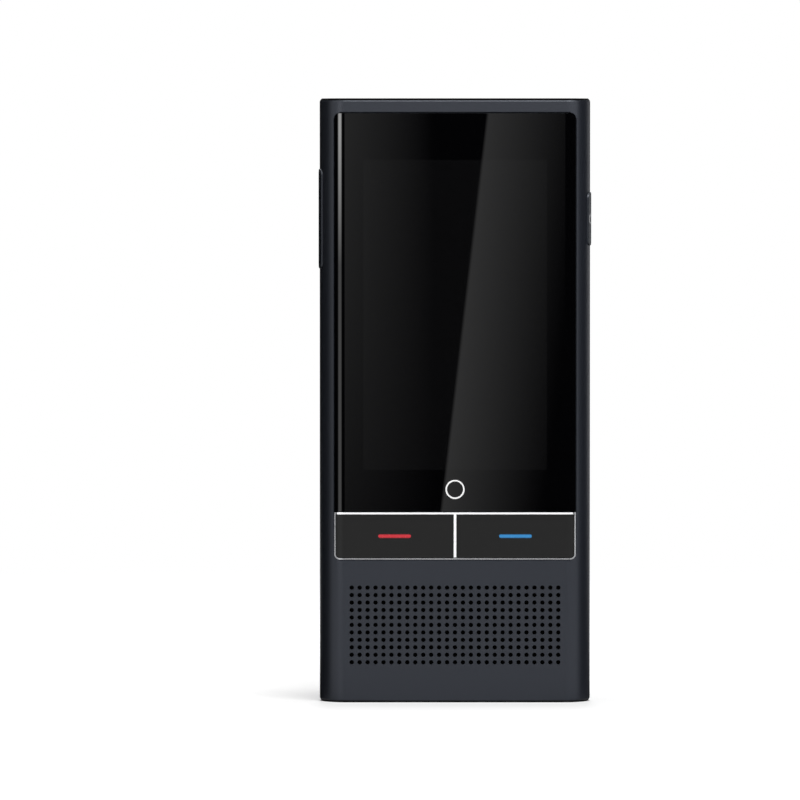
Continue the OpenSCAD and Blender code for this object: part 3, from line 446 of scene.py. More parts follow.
def lit_acrylic(name, colour, box):
    """Tinted acrylic bar with a light behind it: brightest along its middle and dimmer at its rim, partly the
    light's own fall-off and partly painted shade of the recess round it.
    """
    made, tree, place = new_material(name)
    low, high = box
    half = (high.z - low.z) / 2
    height = add(tree, "SeparateXYZ", {"Vector": place}).outputs["Z"]
    away = apart(tree, height, (low.z + high.z) / 2)
    # The fade towards the rim is partly painted shade of the recess
    glow = add(tree, "MapRange", {"Value": away, "From Min": half * 0.45, "From Max": half * 0.95,
                                  "To Min": 0.6, "To Max": 0.03}, interpolation_type="SMOOTHSTEP")
    cloud = add(tree, "TexNoise", {"Vector": place, "Scale": repeats(0.8), "Detail": 1.0})
    rough = add(tree, "MapRange", {"Value": cloud, "To Min": 0.2, "To Max": 0.32})
    shader = add(tree, "BsdfPrincipled", {
        "Base Color": darker(colour, 0.25), "Roughness": rough, "IOR": 1.49, "Emission Color": tuple(colour),
        "Emission Strength": glow})
    add(tree, "OutputMaterial", {"Surface": shader})
    return made


def marked_lacquer(finishes, sizes, box):
    """The housing's lacquer on the power button, in the buttons' darker colour, which is partly painted
    shade, with a printed power symbol: a ring, open at the top, and a bar."""
    made = satin_lacquer("satin_lacquer_marked", finishes.button)
    tree = made.node_tree
    place = next(node for node in tree.nodes if node.bl_idname == "ShaderNodeTexCoord").outputs["Object"]
    shader = next(node for node in tree.nodes if node.bl_idname == "ShaderNodeBsdfPrincipled")
    middle = (box[0] + box[1]) / 2
    radius, half_line = sizes.symbol_d / 2, sizes.symbol_line / 2
    distance, offset = ring_distance(tree, place, middle, (0, 1, 1), radius)
    ring = line_mask(tree, distance, half_line)
    axes = add(tree, "SeparateXYZ", {"Vector": offset})
    aside = add(tree, "Math", {"Value": axes.outputs["Y"]}, operation="ABSOLUTE")
    in_gap = line_mask(tree, aside, radius * 0.42)
    upper = add(tree, "Math", {"Value": axes.outputs["Z"], "Value_001": 0.0}, operation="GREATER_THAN")
    cut = add(tree, "Math", {"Value": in_gap, "Value_001": upper}, operation="MULTIPLY")
    arc = add(tree, "Math", {"Value": ring, "Value_001": cut}, operation="SUBTRACT", use_clamp=True)
    along = apart(tree, axes.outputs["Z"], radius * 0.7)
    bar_z = line_mask(tree, along, radius * 0.52)
    bar_y = line_mask(tree, aside, half_line)
    bar = add(tree, "Math", {"Value": bar_y, "Value_001": bar_z}, operation="MULTIPLY")
    symbol = add(tree, "Math", {"Value": arc, "Value_001": bar}, operation="MAXIMUM")
    tone = shader.inputs["Base Color"].links[0].from_socket
    print_grey = darker(finishes.mark, 0.55)
    colour = add(tree, "Mix", {"Factor_Float": symbol, "A_Color": tone, "B_Color": print_grey},
                 data_type="RGBA")
    tree.links.new(next(o for o in colour.outputs if o.enabled), shader.inputs["Base Color"])
    return made


def grained(name, dark, light, grain_mm, roughness, metallic=0.0, relief=0.1, pattern="TexNoise",
            stretch=(1, 1, 1), **also):
    """A surface whose tone, roughness and relief follow one pattern, grain_mm apart."""
    made, tree, place = new_material(name)
    turned = add(tree, "Mapping", {"Vector": place, "Scale": stretch})
    grain = add(tree, pattern, {"Vector": turned, "Scale": repeats(grain_mm)})
    return finished(made, tree, grain, dark, light, roughness, metallic, relief, also)


def ruled(name, dark, light, pitch_mm, roughness, metallic=0.0, relief=0.1, axes=("X", "Z"), **also):
    """A surface of crossing or parallel lines, pitch_mm apart: woven, or traced with copper."""
    made, tree, place = new_material(name)
    lines = [add(tree, "TexWave", {"Vector": place, "Scale": repeats(pitch_mm) * WAVE,
                                   "Distortion": 0.4}, bands_direction=axis) for axis in axes]
    grain = lines[0].outputs["Fac"]
    for line in lines[1:]:
        grain = add(tree, "Math", {"Value": grain, "Value_001": line.outputs["Fac"]}, operation="MAXIMUM")
    return finished(made, tree, grain, dark, light, roughness, metallic, relief, also)


def finished(made, tree, grain, dark, light, roughness, metallic, relief, also):
    """Joins a pattern to the tone, the roughness and the relief of a surface."""
    tone = add(tree, "Mix", {"Factor_Float": grain, "A_Color": linear(dark), "B_Color": linear(light)},
               data_type="RGBA")
    rough = add(tree, "MapRange", {"Value": grain, "To Min": roughness, "To Max": roughness + 0.12})
    raised = add(tree, "Bump", {"Height": grain, "Strength": relief, "Distance": 0.03 * MM})
    shader = add(tree, "BsdfPrincipled", {"Base Color": tone, "Roughness": rough, "Metallic": metallic,
                                          "Normal": raised, **also})
    add(tree, "OutputMaterial", {"Surface": shader})
    return made


WAVE = math.pi / 10  # a wave texture repeats every tenth of pi at a scale of 1
CELLS = "TexVoronoi"  # open pores, or the crystals of a plated sheet
# By the record's slots: function, name, dark and light tone, spacing in mm, roughness, and what else differs
INNER = {
    # Polyurethane foam: dead black, open pores
    "foam": (grained, "cut_polyurethane_foam", "#08080a", "#1c1c1f", 0.3, 0.85,
             dict(pattern=CELLS, relief=0.8)),
    # Liquid crystal cell under its polariser: smoky black, smooth
    "display": (ruled, "polarised_display_glass", "#0a0b0f", "#101219", 0.25, 0.1, dict(relief=0.02)),
    # Cast silicone: clear, with faint waves
    "clear_bond": (grained, "clear_silicone_bond", "#e8eaec", "#f6f7f8", 6, 0.03, {"Transmission Weight": 1.0,
                                                                                  "IOR": 1.41}),
    # Polyimide over copper tracks: glossy amber with darker lines
    "ribbon_amber": (ruled, "polyimide_ribbon", "#7a3a0c", "#c27a24", 0.5, 0.25, dict(axes=("X",))),
    # Magnesium, cast and bead blasted: even pale grey with a fine sparkle
    "frame_alloy": (grained, "blasted_magnesium", "#7c8085", "#a9adb2", 0.15, 0.45,
                    dict(metallic=1.0, relief=0.5)),
    # Zinc-plated steel, cold headed: cool and bright
    "screw_steel": (grained, "zinc_plated_steel", "#8f949b", "#c3c8ce", 0.2, 0.25, dict(metallic=1.0)),
    # Solder mask over glass fibre board: deep green, tracks just lighter
    "board_green": (ruled, "solder_masked_board", "#0b3a22", "#1b6a3e", 0.8, 0.3, dict(relief=0.3)),
    # Stamped stainless steel: fine lines from rolling
    "switch_steel": (grained, "rolled_stainless_steel", "#93979b", "#c8cbce", 0.15, 0.22,
                     dict(metallic=1.0, stretch=(6, 1, 1))),
    # Phosphor cast in silicone: warm cream, milky
    "led_cream": (grained, "cast_phosphor", "#d9c878", "#f0e6b4", 0.3, 0.35, dict(relief=0.05)),
    # Epoxy moulding compound: charcoal with a dull bloom
    "chip_black": (grained, "epoxy_moulding_compound", "#131315", "#26262a", 0.1, 0.5, dict(relief=0.25)),
    # Tinned steel sheet: mottled crystals
    "shield_tin": (grained, "tinned_steel_sheet", "#a1a5a8", "#cfd2d3", 1.6, 0.28,
                   dict(metallic=1.0, pattern=CELLS)),
    # Moulded nylon: off-white, faintly silky
    "connector_cream": (grained, "moulded_nylon", "#cfc6ab", "#e6dfca", 0.5, 0.4, dict(relief=0.05)),
    # Aluminium foil laminate, deep drawn: satin silver with soft creases
    "battery_foil": (grained, "laminated_aluminium_foil", "#9a9ea2", "#c9ccd0", 2.5, 0.3,
                     dict(metallic=1.0, relief=0.6, stretch=(1, 1, 0.4))),
    # Acetate cloth tape: white, woven fine
    "tape_white": (ruled, "woven_acetate_tape", "#cfcdc6", "#eeece6", 0.3, 0.7, dict(relief=0.5)),
    # Woven polyester gauze: black threads with open squares between
    "mesh_black": (ruled, "woven_polyester_gauze", "#010101", "#060607", 0.22, 0.8,
                   {"Specular IOR Level": 0.1}),
    # Glass-filled polycarbonate, moulded: black, dull with short fibres
    "speaker_black": (grained, "glass_filled_polycarbonate", "#0d0d0f", "#1d1d20", 0.4, 0.5,
                      dict(stretch=(3, 1, 1))),
    # Pressed paper cone with a rubber edge: soft dark grey
    "cone_grey": (grained, "pressed_paper_cone", "#26272a", "#3d3f43", 0.25, 0.75, dict(relief=0.4)),
    # Drawn steel: cool grey with fine lines along the draw
    "port_steel": (grained, "drawn_steel", "#8e9094", "#b4b6ba", 0.3, 0.25,
                   dict(metallic=1.0, stretch=(4, 4, 0.3))),
    # Liquid crystal polymer: black with flow lines
    "tongue_black": (grained, "liquid_crystal_polymer", "#0c0c0d", "#19191b", 0.6, 0.45,
                     dict(stretch=(3, 3, 0.5))),
    # Gold flash over nickel: warm and smooth
    "mic_gilt": (grained, "gold_flash", "#c89b4a", "#e0b868", 0.2, 0.25, dict(metallic=1.0)),
    # Polycarbonate blend, laser roughened: soft black
    "carrier_black": (grained, "laser_roughened_polycarbonate", "#121214", "#232327", 0.12, 0.6,
                      dict(relief=0.4)),
    # Rolled brass foil: yellow, streaked along the roll
    "foil_brass": (grained, "rolled_brass_foil", "#a5823f", "#cdaa62", 0.3, 0.25,
                   dict(metallic=1.0, stretch=(1, 1, 8))),
}


# ---- Pieces ----


def box_of(node):
    low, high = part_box(node)
    return Vector(low), Vector(high)


class TRANSLATOR_OT_casing(bpy.types.Operator):
    """Front housing and rear cover in satin lacquer, with eased rims, seam and button openings"""

    bl_idname = "translator.casing"
    bl_label = "Casing"

    def execute(self, context):
        sizes = context.scene.translator_sizes
        lacquer = context.scene.translator_finishes.lacquer
        low, high = CAD_BOX
        rim, skin, flank = 0.6 * MM, 0.05 * MM, 0.9 * MM  # how far each zone reaches in from outside

        def at_rim(p):
            return p.z < low.z + rim or p.z > high.z - rim

        def outer_rim(p):
            return at_rim(p) and section_at(p)[1] < skin

        def fine_edge(p):
            return abs(p.x) > SECTION.half_w - flank or at_rim(p)

        made = satin_lacquer("satin_lacquer", lacquer)
        for node, name in (("front_housing", "housing_shell"), ("rear_cover", "cover_shell")):
            piece = copy_of(node, name)
            ease(piece, sizes.rim_ease, outer_rim, steps=3)
            ease(piece, sizes.edge_ease, fine_edge)
            smooth(piece)
            mark_bare_and_shaded(piece)
            dress(piece, made)
        return {"FINISHED"}


class TRANSLATOR_OT_end_caps(bpy.types.Operator):
    """Black plugs at both ends"""

    bl_idname = "translator.end_caps"
    bl_label = "End caps"

    def execute(self, context):
        width = context.scene.translator_sizes.cap_ease
        made = etched_moulding(context.scene.translator_finishes.cap)
        top = box_of("top_cap")[1].z
        for node, name, outer in (("top_cap", "top_plug", top), ("bottom_cap", "bottom_plug", 0.0)):
            piece = copy_of(node, name)
            ease(piece, width, lambda p, z=outer: abs(p.z - z) < SLACK)
            smooth(piece)
            dress(piece, made)
        return {"FINISHED"}


class TRANSLATOR_OT_front_glass(bpy.types.Operator):
    """Curved cover glass with its black print, the dark display and the ring"""

    bl_idname = "translator.front_glass"
    bl_label = "Front glass"

    def execute(self, context):
        scene = context.scene
        piece = copy_of("cover_glass", "front_glass")
        smooth(piece)
        dress(piece, printed_glass(scene.translator_finishes, scene.translator_sizes, box_of("display_bond")))
        return {"FINISHED"}


class TRANSLATOR_OT_bright_trim(bpy.types.Operator):
    """Plated trim round both keys"""

    bl_idname = "translator.bright_trim"
    bl_label = "Bright trim"

    def execute(self, context):
        scene = context.scene
        sizes = scene.translator_sizes
        piece = copy_of("key_trim", "bright_trim")
        low, high = box_of("key_trim")

        def in_front(p):
            return p.y < low.y + FRONT_REACH

        def thin_side(p):
            outer = abs(p.x) > high.x - TRIM_SIDE.x or p.z < low.z + TRIM_SIDE.z
            return outer and p.z < high.z - FRONT_REACH and in_front(p)

        ease(piece, sizes.trim_side_ease, thin_side, steps=3)
        ease(piece, sizes.trim_ease, lambda p: in_front(p) and not thin_side(p), steps=3)
        smooth(piece)
        dress(piece, bright_plating(scene.translator_finishes, (low, high)))
        return {"FINISHED"}


class TRANSLATOR_OT_speech_keys(bpy.types.Operator):
    """Two wide speech keys with eased fronts"""

    bl_idname = "translator.speech_keys"
    bl_label = "Speech keys"

    def execute(self, context):
        made = fine_matte_moulding(context.scene.translator_finishes.key)
        for side in ("left", "right"):
            piece = copy_of(f"{side}_key", f"{side}_key_cap")
            front = box_of(f"{side}_key")[0].y
            ease(piece, context.scene.translator_sizes.key_ease, lambda p: p.y < front + FRONT_REACH)
            smooth(piece)
            dress(piece, made)
        return {"FINISHED"}


class TRANSLATOR_OT_key_lights(bpy.types.Operator):
    """Light bars of both keys, lit"""

    bl_idname = "translator.key_lights"
    bl_label = "Key lights"

    def execute(self, context):
        finishes = context.scene.translator_finishes
        for side, colour, name in (("left", finishes.red, "red"), ("right", finishes.blue, "blue")):
            node = f"{side}_key_light"
            piece = copy_of(node, f"{side}_light_bar")
            smooth(piece)
            dress(piece, lit_acrylic(f"lit_acrylic_{name}", colour, box_of(node)))
        return {"FINISHED"}


class TRANSLATOR_OT_side_buttons(bpy.types.Operator):
    """Power button with its symbol, and volume rocker"""

    bl_idname = "translator.side_buttons"
    bl_label = "Side buttons"

    def execute(self, context):
        scene = context.scene
        finishes, sizes = scene.translator_finishes, scene.translator_sizes
        # The buttons' colour is darker than the housing's, partly as painted shade
        plain = satin_lacquer("satin_lacquer_buttons", finishes.button)
        marked = marked_lacquer(finishes, sizes, box_of("power_button"))
        edge = SECTION.half_w - 0.6 * MM
        for node, name, made in (("power_button", "power_key", marked),
                                 ("volume_rocker", "volume_key", plain)):
            piece = copy_of(node, name)
            ease(piece, sizes.button_ease, lambda p: abs(p.x) > edge, steps=3)
            smooth(piece)
            dress(piece, made)
        return {"FINISHED"}


class TRANSLATOR_OT_port(bpy.types.Operator):
    """Charging port: drawn steel sleeve, black tongue and gilt contacts"""

    bl_idname = "translator.port"
    bl_label = "Charging port"

    def execute(self, context):
        sizes = context.scene.translator_sizes
        sleeve = copy_of("port_shell", "port_sleeve")
        mouth = box_of("port_shell")[0].z
        ease(sleeve, sizes.port_ease, lambda p: p.z < mouth + SLACK)
        smooth(sleeve)
        dress(sleeve, frame["nodes"]["port_shell"].data.materials[0])
        contacts = self.contacts(context, sizes)
        contacts.name = contacts.data.name = "port_contacts"
        select_only(contacts)
        bpy.ops.object.transform_apply()
        ease(contacts, sizes.contact_depth / 4, lambda p: True, steps=1)
        smooth(contacts)
        dress(contacts, frame["nodes"]["lower_mic"].data.materials[0])
        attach(contacts, "root")
        return {"FINISHED"}

    def contacts(self, context, sizes):
        """Two rows of contacts, one on each side of the tongue, as one piece."""
        size = sizes.contact_width, sizes.contact_depth, sizes.contact_reach
        middle = box_of("port_tongue")[0].z + sizes.contact_start + sizes.contact_reach / 2
        strips = []
        for side in (-1, 1):
            for i in range(CONTACTS):
                place = ((i - (CONTACTS - 1) / 2) * sizes.contact_pitch, side * sizes.contact_side, middle)
                bpy.ops.object.select_all(action="DESELECT")
                bpy.ops.mesh.primitive_cube_add(size=1, location=place, scale=size)
                bpy.ops.object.transform_apply()
                strips.append(context.object)
        bpy.ops.object.select_all(action="DESELECT")
        for strip in strips:
            strip.select_set(True)
        context.view_layer.objects.active = strips[0]
        bpy.ops.object.join()
        return context.object


class TRANSLATOR_OT_inner(bpy.types.Operator):
    """Finishes of everything inside the casing"""

    bl_idname = "translator.inner"
    bl_label = "Inner parts"

    def execute(self, context):
        made = {}
        for part in frame["record"]["subparts"]:
            slot = part["material_slot"]
            if slot in INNER and slot not in made:
                way, name, dark, light, spacing, roughness, also = INNER[slot]
                made[slot] = way(name, dark, light, spacing, roughness, **also)
            if slot in made:
                dress(frame["nodes"][part["node"]], made[slot])
        return {"FINISHED"}


# ---- Stage ----


# Place, aim, width and height of each lamp, in metres
LAMPS = {
    "key": ((0.35, -0.8, 0.85), (0, 0, 0.05), 0.9, 0.6),
    "back": ((0, 0.8, 0.6), (0, 0, 0.06), 0.24, 0.5),
    "top": ((0, 0, 1), (0, 0, 0), 1.0, 1.0),
    "base": ((0, -0.15, -0.4), (0, 0, 0), 0.3, 0.3),
}
STRIP_TURN, STRIP_DISTANCE = math.radians(-29), 0.55  # where the strip light stands, left of the front
BRIGHTEST = 4.0  # a colour ramp holds 0 to 1, so its stops are shares of this
# Degrees of turn and strength. At the height of the object: black, but for greys beside it and at the back
# right
LOW_STOPS = ((-180, 0), (-95, 0), (-80, 0.12), (-62, 0.3), (-56, 0), (56.5, 0), (60, 0.45), (70, 0.1),
             (80, 0.0), (134, 0), (142, 0.3), (150, 0.12), (157, 0), (180, 0))
# Above it: bright in front, most of all on the right
HIGH_STOPS = ((-180, 0), (-160, 0.01), (-100, 0.01), (-80, 0.2), (-60, 0.45), (0, 0.52), (35, 0.75),
              (58, 0.75), (72, 0.12), (84, 0.01), (134, 0.01), (142, 0.15), (150, 0.05), (158, 0), (180, 0))
# Radius, lower and upper end, and stops of both round walls that show in reflections
TENTS = {"low_tent": (0.6, 0.0, 0.13, LOW_STOPS), "high_tent": (1.0, 0.13, 1.2, HIGH_STOPS)}


def lamp(name, place, aim, width, height, power):
    """A soft rectangular lamp that faces its aim."""
    light = bpy.data.lights.new(name, "AREA")
    light.shape = "RECTANGLE"
    light.size, light.size_y = width, height
    light.energy = power
    piece = bpy.data.objects.new(name, light)
    bpy.context.scene.collection.objects.link(piece)
    piece.location = place
    piece.rotation_euler = (Vector(aim) - Vector(place)).to_track_quat("-Z", "Y").to_euler()


def background_seen(tree):
    """1 for a ray from the camera, a reflection or a clear surface, and 0 for light on the object."""
    path = add(tree, "LightPath")
    seen = path.outputs["Is Camera Ray"]
    for ray in ("Is Glossy Ray", "Is Transmission Ray"):
        seen = add(tree, "Math", {"Value": seen, "Value_001": path.outputs[ray]}, operation="MAXIMUM")
    return seen


def reflected_only(card, name, glow_of, cover_of=None):
    """A card that shows in reflections alone."""
    card.name = name
    made, tree, place = new_material(name + "_glow")
    glow = add(tree, "Emission", {"Strength": glow_of(tree, place)})
    if cover_of:
        clear = add(tree, "BsdfTransparent")
        glow = add(tree, "MixShader", {"Fac": cover_of(tree, place), "Shader": clear, "Shader_001": glow})
    add(tree, "OutputMaterial", {"Surface": glow})
    dress(card, made)
    card.visible_camera = card.visible_diffuse = card.visible_shadow = card.visible_transmission = False


def new_card(width, height, place, turn=(math.pi / 2, 0, 0)):
    """A flat card, width by height."""
    bpy.ops.object.select_all(action="DESELECT")
    bpy.ops.mesh.primitive_plane_add(size=1, location=place, rotation=turn)
    card = bpy.context.object
    card.scale = (width, height, 1)
    bpy.ops.object.transform_apply()
    return card


def turn_of(tree, axes):
    """Turn of a place about the object, from its separate axes: 0 in front, growing to the right."""
    ahead = add(tree, "Math", {"Value": axes.outputs["Y"], "Value_001": -1.0}, operation="MULTIPLY")
    return add(tree, "Math", {"Value": axes.outputs["X"], "Value_001": ahead}, operation="ARCTAN2")


def front_card_glow(tree, place):
    """Softbox that hangs askew: a slanted edge, brightest on its right, and a dim patch further left."""
    slope, foot, softness = 0.1167, -0.0031, 0.0004  # of the slanted edge
    glow, reach, fall = 0.68, 0.027, 1.35  # on the right of the edge
    patch_start, patch_full, patch_left, patch_right = -0.045, -0.032, -0.026, -0.003  # from left to right
    patch_low, patch_high, low_glow, high_glow = 0.02, 0.12, 0.13, 0.39  # it grows stronger upwards
    axes = add(tree, "SeparateXYZ", {"Vector": place})
    lean = add(tree, "Math", {"Value": axes.outputs["Z"], "Value_001": slope, "Value_002": foot},
               operation="MULTIPLY_ADD")
    past = add(tree, "Math", {"Value": axes.outputs["X"], "Value_001": lean}, operation="SUBTRACT")
    side = add(tree, "MapRange", {"Value": past, "From Min": -softness, "From Max": softness})
    right = add(tree, "MapRange", {"Value": past, "From Min": 0.0, "From Max": reach,
                                   "To Min": glow, "To Max": 0.0})
    right = add(tree, "Math", {"Value": right, "Value_001": fall}, operation="POWER")
    left = add(tree, "MapRange", {"Value": axes.outputs["X"], "From Min": patch_left, "From Max": patch_right,
                                  "To Min": 1.0, "To Max": 0.0})
    lift = add(tree, "MapRange", {"Value": axes.outputs["Z"], "From Min": patch_low, "From Max": patch_high,
                                  "To Min": low_glow, "To Max": high_glow})
    kept = add(tree, "MapRange", {"Value": axes.outputs["X"], "From Min": patch_start,
                                  "From Max": patch_full})
    for share in (lift, kept):
        left = add(tree, "Math", {"Value": left, "Value_001": share}, operation="MULTIPLY")
    return add(tree, "Mix", {"Factor_Float": side, "A_Float": left, "B_Float": right})


def strip_glow(tree, place):
    """Strip light that fades to both sides and is far brighter at its upper end."""
    core, border = math.radians(4), math.radians(12)  # full up to the first turn, gone at the second
    dim_height, bright_height, dim, bright = 0.08, 0.116, 1.3, 7.0
    axes = add(tree, "SeparateXYZ", {"Vector": place})
    off = apart(tree, turn_of(tree, axes), STRIP_TURN)
    across = add(tree, "MapRange", {"Value": off, "From Min": core, "From Max": border, "To Min": 1.0,
                                    "To Max": 0.0}, interpolation_type="SMOOTHSTEP")
    rising = add(tree, "MapRange", {"Value": axes.outputs["Z"], "From Min": dim_height,
                                    "From Max": bright_height, "To Min": dim, "To Max": bright})
    return add(tree, "Math", {"Value": across, "Value_001": rising}, operation="MULTIPLY")


def flag_cover(tree, place):
    """Where the black cloth on the floor lies: on both sides, with soft borders."""
    axes = add(tree, "SeparateXYZ", {"Vector": place})
    turn = add(tree, "Math", {"Value": turn_of(tree, axes)}, operation="ABSOLUTE")
    ahead = add(tree, "MapRange", {"Value": turn, "From Min": math.radians(60),
                                   "From Max": math.radians(95)}, interpolation_type="SMOOTHSTEP")
    behind = add(tree, "MapRange", {"Value": turn, "From Min": math.radians(140),
                                    "From Max": math.radians(165), "To Min": 1.0, "To Max": 0.0},
                 interpolation_type="SMOOTHSTEP")
    return add(tree, "Math", {"Value": ahead, "Value_001": behind}, operation="MULTIPLY")


def tent_glow(stops):
    """Glow of a round wall, from stops of turn and strength. Turn 0 is the front and grows to the right."""
    def glow(tree, place):
        axes = add(tree, "SeparateXYZ", {"Vector": place})
        turn = turn_of(tree, axes)
        share = add(tree, "MapRange", {"Value": turn, "From Min": -math.pi, "From Max": math.pi})
        steps = add(tree, "ValToRGB", {"Fac": share})
        points = steps.color_ramp.elements
        while len(points) < len(stops):
            points.new(0.5)
        for point, (degrees, _) in zip(points, stops):
            point.position = (degrees + 180) / 360
        for point, (_, strength) in zip(points, stops):
            point.color = (strength, strength, strength, 1)
        return add(tree, "Math", {"Value": steps, "Value_001": BRIGHTEST}, operation="MULTIPLY")
    return glow


class TRANSLATOR_OT_stage(bpy.types.Operator):
    """White floor and backdrop, soft lamps, cards that show in reflections, and the camera"""

    bl_idname = "translator.stage"
    bl_label = "Stage"

    def execute(self, context):
        scene = context.scene
        settings = scene.translator_stage
        scene.view_settings.view_transform = "Standard"
        self.floor()
        self.backdrop(scene)
        self.cards()
        for name, lay in LAMPS.items():
            lamp(f"{name}_lamp", *lay, getattr(settings, f"{name}_power"))
        self.camera(scene, settings)
        return {"FINISHED"}

    def floor(self):
        """Matte white paper, which shows as plain white and takes the object's shadow, with a painted contact
        shadow round and under the base.
        """
        fade_start, fade_end = 0.2, 0.5  # between these distances it turns to plain white
        painted_shadow_reach = 0.045  # painted contact shadow: its own glow is dimmed this far round the base
        opening = 1.2 * MM  # it is cut out under the base, but for a border
        bpy.ops.object.select_all(action="DESELECT")
        bpy.ops.mesh.primitive_plane_add(size=12)
        sheet = bpy.context.object
        sheet.name = "floor"
        made, tree, place = new_material("matte_paper")
        fibre = add(tree, "TexNoise", {"Vector": place, "Scale": repeats(2.0), "Detail": 2.0})
        tone = add(tree, "Mix", {"Factor_Float": fibre, "A_Color": linear("#b4b4b4"),
                                 "B_Color": linear("#b6b6b6")}, data_type="RGBA")
        reach = add(tree, "VectorMath", {"Vector": place}, operation="LENGTH").outputs["Value"]
        far = add(tree, "MapRange", {"Value": reach, "From Min": fade_start, "From Max": fade_end},
                  interpolation_type="SMOOTHSTEP")
        off = self.off_base(tree, place)
        painted_shadow = add(tree, "MapRange", {"Value": off, "From Min": 0.0, "From Max": painted_shadow_reach, "To Min": 0.38,
                                       "To Max": 0.62}, interpolation_type="SMOOTHSTEP")
        # Painted shade under the base: no glow at all within its outline
        beside = add(tree, "Math", {"Value": off, "Value_001": 0.0}, operation="GREATER_THAN")
        painted_shadow = add(tree, "Math", {"Value": painted_shadow, "Value_001": beside}, operation="MULTIPLY")
        lift = add(tree, "Mix", {"Factor_Float": far, "A_Float": painted_shadow, "B_Float": 1.0})
        lift = add(tree, "Math", {"Value": background_seen(tree), "Value_001": lift}, operation="MULTIPLY")
        tone = add(tree, "Mix", {"Factor_Float": far, "A_Color": tone, "B_Color": linear("#000000")},
                   data_type="RGBA")
        glow = add(tree, "Emission", {"Strength": lift})
        paper = add(tree, "BsdfDiffuse", {"Color": tone})
        both = add(tree, "AddShader", {"Shader": glow, "Shader_001": paper})
        # Clear from below too, so that the base can be seen and lit
        below = add(tree, "NewGeometry").outputs["Backfacing"]
        cut = add(tree, "Math", {"Value": off, "Value_001": -opening}, operation="LESS_THAN")
        bare = add(tree, "Math", {"Value": below, "Value_001": cut}, operation="MAXIMUM")
        clear = add(tree, "BsdfTransparent")
        surface = add(tree, "MixShader", {"Fac": bare, "Shader": both, "Shader_001": clear})
        add(tree, "OutputMaterial", {"Surface": surface})
        dress(sheet, made)

    def backdrop(self, scene):
        """White where it shows, and all but dark as a light on the object."""
        world = bpy.data.worlds.new("studio")
        world.use_nodes = True
        tree = world.node_tree
        tree.nodes.clear()
        strength = add(tree, "MapRange", {"Value": background_seen(tree), "To Min": 0.035, "To Max": 1.0})
        sky = add(tree, "Background", {"Color": linear("#ffffff"), "Strength": strength})
        add(tree, "OutputWorld", {"Surface": sky})
        scene.world = world

    def off_base(self, tree, place):
        """Distance beyond the outline of the base, taken as a bar with round ends."""
        straight = (SECTION.half_w - SECTION.half_d, 0, 0)
        out = add(tree, "VectorMath", {"Vector": place}, operation="ABSOLUTE")
        for operation, by in (("SUBTRACT", straight), ("MAXIMUM", (0, 0, 0)), ("MULTIPLY", (1, 1, 0))):
            out = add(tree, "VectorMath", {"Vector": out, "Vector_001": by}, operation=operation)
        reach = add(tree, "VectorMath", {"Vector": out}, operation="LENGTH").outputs["Value"]
        return add(tree, "Math", {"Value": reach, "Value_001": SECTION.half_d}, operation="SUBTRACT")

    def cards(self):
        """Softbox, strip light, round walls and a black cloth on the floor, all for reflections alone."""
        reflected_only(new_card(0.42, 0.14, (0.07, -0.45, 0.071)), "front_card", front_card_glow)
        across = Vector((math.sin(STRIP_TURN), -math.cos(STRIP_TURN), 0)) * STRIP_DISTANCE
        reflected_only(new_card(0.28, 0.15, across + Vector((0, 0, 0.076)), (math.pi / 2, 0, STRIP_TURN)),
                       "strip_card", strip_glow)
        for name, (radius, low, high, stops) in TENTS.items():
            bpy.ops.object.select_all(action="DESELECT")
            bpy.ops.mesh.primitive_cylinder_add(vertices=96, radius=radius, depth=high - low,
                                                location=(0, 0, (low + high) / 2), end_fill_type="NOTHING")
            bpy.ops.object.transform_apply()
            reflected_only(bpy.context.object, name, tent_glow(stops))
        cloth = new_card(1.2, 1.2, (0, 0, 0.4 * MM), (0, 0, 0))
        reflected_only(cloth, "floor_flag", lambda tree, place: 0.0, flag_cover)

    def camera(self, scene, settings):
        lens = bpy.data.cameras.new("camera")
        piece = bpy.data.objects.new("camera", lens)
        scene.collection.objects.link(piece)
        aim = Vector((settings.aim_x, CAD_BOX[0].y, settings.aim_z))
        rise = settings.camera_rise
        away = Vector((0, -math.cos(rise), math.sin(rise))) * settings.camera_distance
        piece.location = aim + away
        piece.rotation_euler = (-away).to_track_quat("-Z", "Y").to_euler()
        lens.lens = lens.sensor_width * settings.camera_distance / (PICTURE * settings.pixel)
        lens.clip_start, lens.clip_end = 0.01, 20
        scene.camera = piece


class TRANSLATOR_PT_panel(bpy.types.Panel):
    """Steps, sizes and colours of the translator"""

    bl_idname = "TRANSLATOR_PT_panel"
    bl_label = "Translator"
    bl_space_type = "VIEW_3D"
    bl_region_type = "UI"
    bl_category = "Translator"

    def draw(self, context):
        for step in STEPS:
            self.layout.operator(step.bl_idname)
        for group in (context.scene.translator_sizes, context.scene.translator_finishes,
                      context.scene.translator_stage):
            for key in group.bl_rna.properties.keys():
                if key not in ("rna_type", "name"):
                    self.layout.prop(group, key)


STEPS = (TRANSLATOR_OT_inner, TRANSLATOR_OT_casing, TRANSLATOR_OT_end_caps, TRANSLATOR_OT_front_glass,
         TRANSLATOR_OT_bright_trim, TRANSLATOR_OT_speech_keys, TRANSLATOR_OT_key_lights,
         TRANSLATOR_OT_side_buttons, TRANSLATOR_OT_port, TRANSLATOR_OT_stage)
GROUPS = {"translator_finishes": TranslatorFinishes, "translator_sizes": TranslatorSizes,
          "translator_stage": TranslatorStage}


def register():
    for group in GROUPS.values():
        bpy.utils.register_class(group)
    for step in STEPS + (TRANSLATOR_PT_panel,):
        bpy.utils.register_class(step)
    for name, group in GROUPS.items():
        setattr(bpy.types.Scene, name, PointerProperty(type=group))


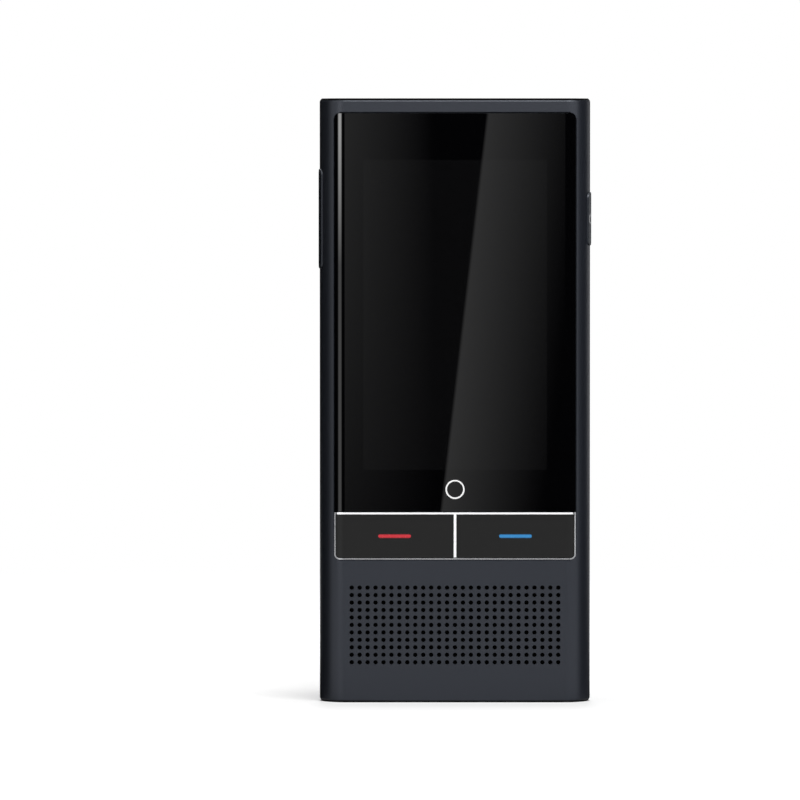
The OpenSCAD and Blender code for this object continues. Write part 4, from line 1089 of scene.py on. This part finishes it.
def unregister():
    for name in GROUPS:
        delattr(bpy.types.Scene, name)
    for made in STEPS + (TRANSLATOR_PT_panel,) + tuple(GROUPS.values()):
        bpy.utils.unregister_class(made)


def main():
    register()
    for step in STEPS:
        group, name = step.bl_idname.split(".")
        getattr(getattr(bpy.ops, group), name)()


if __name__ == "__main__":
    main()
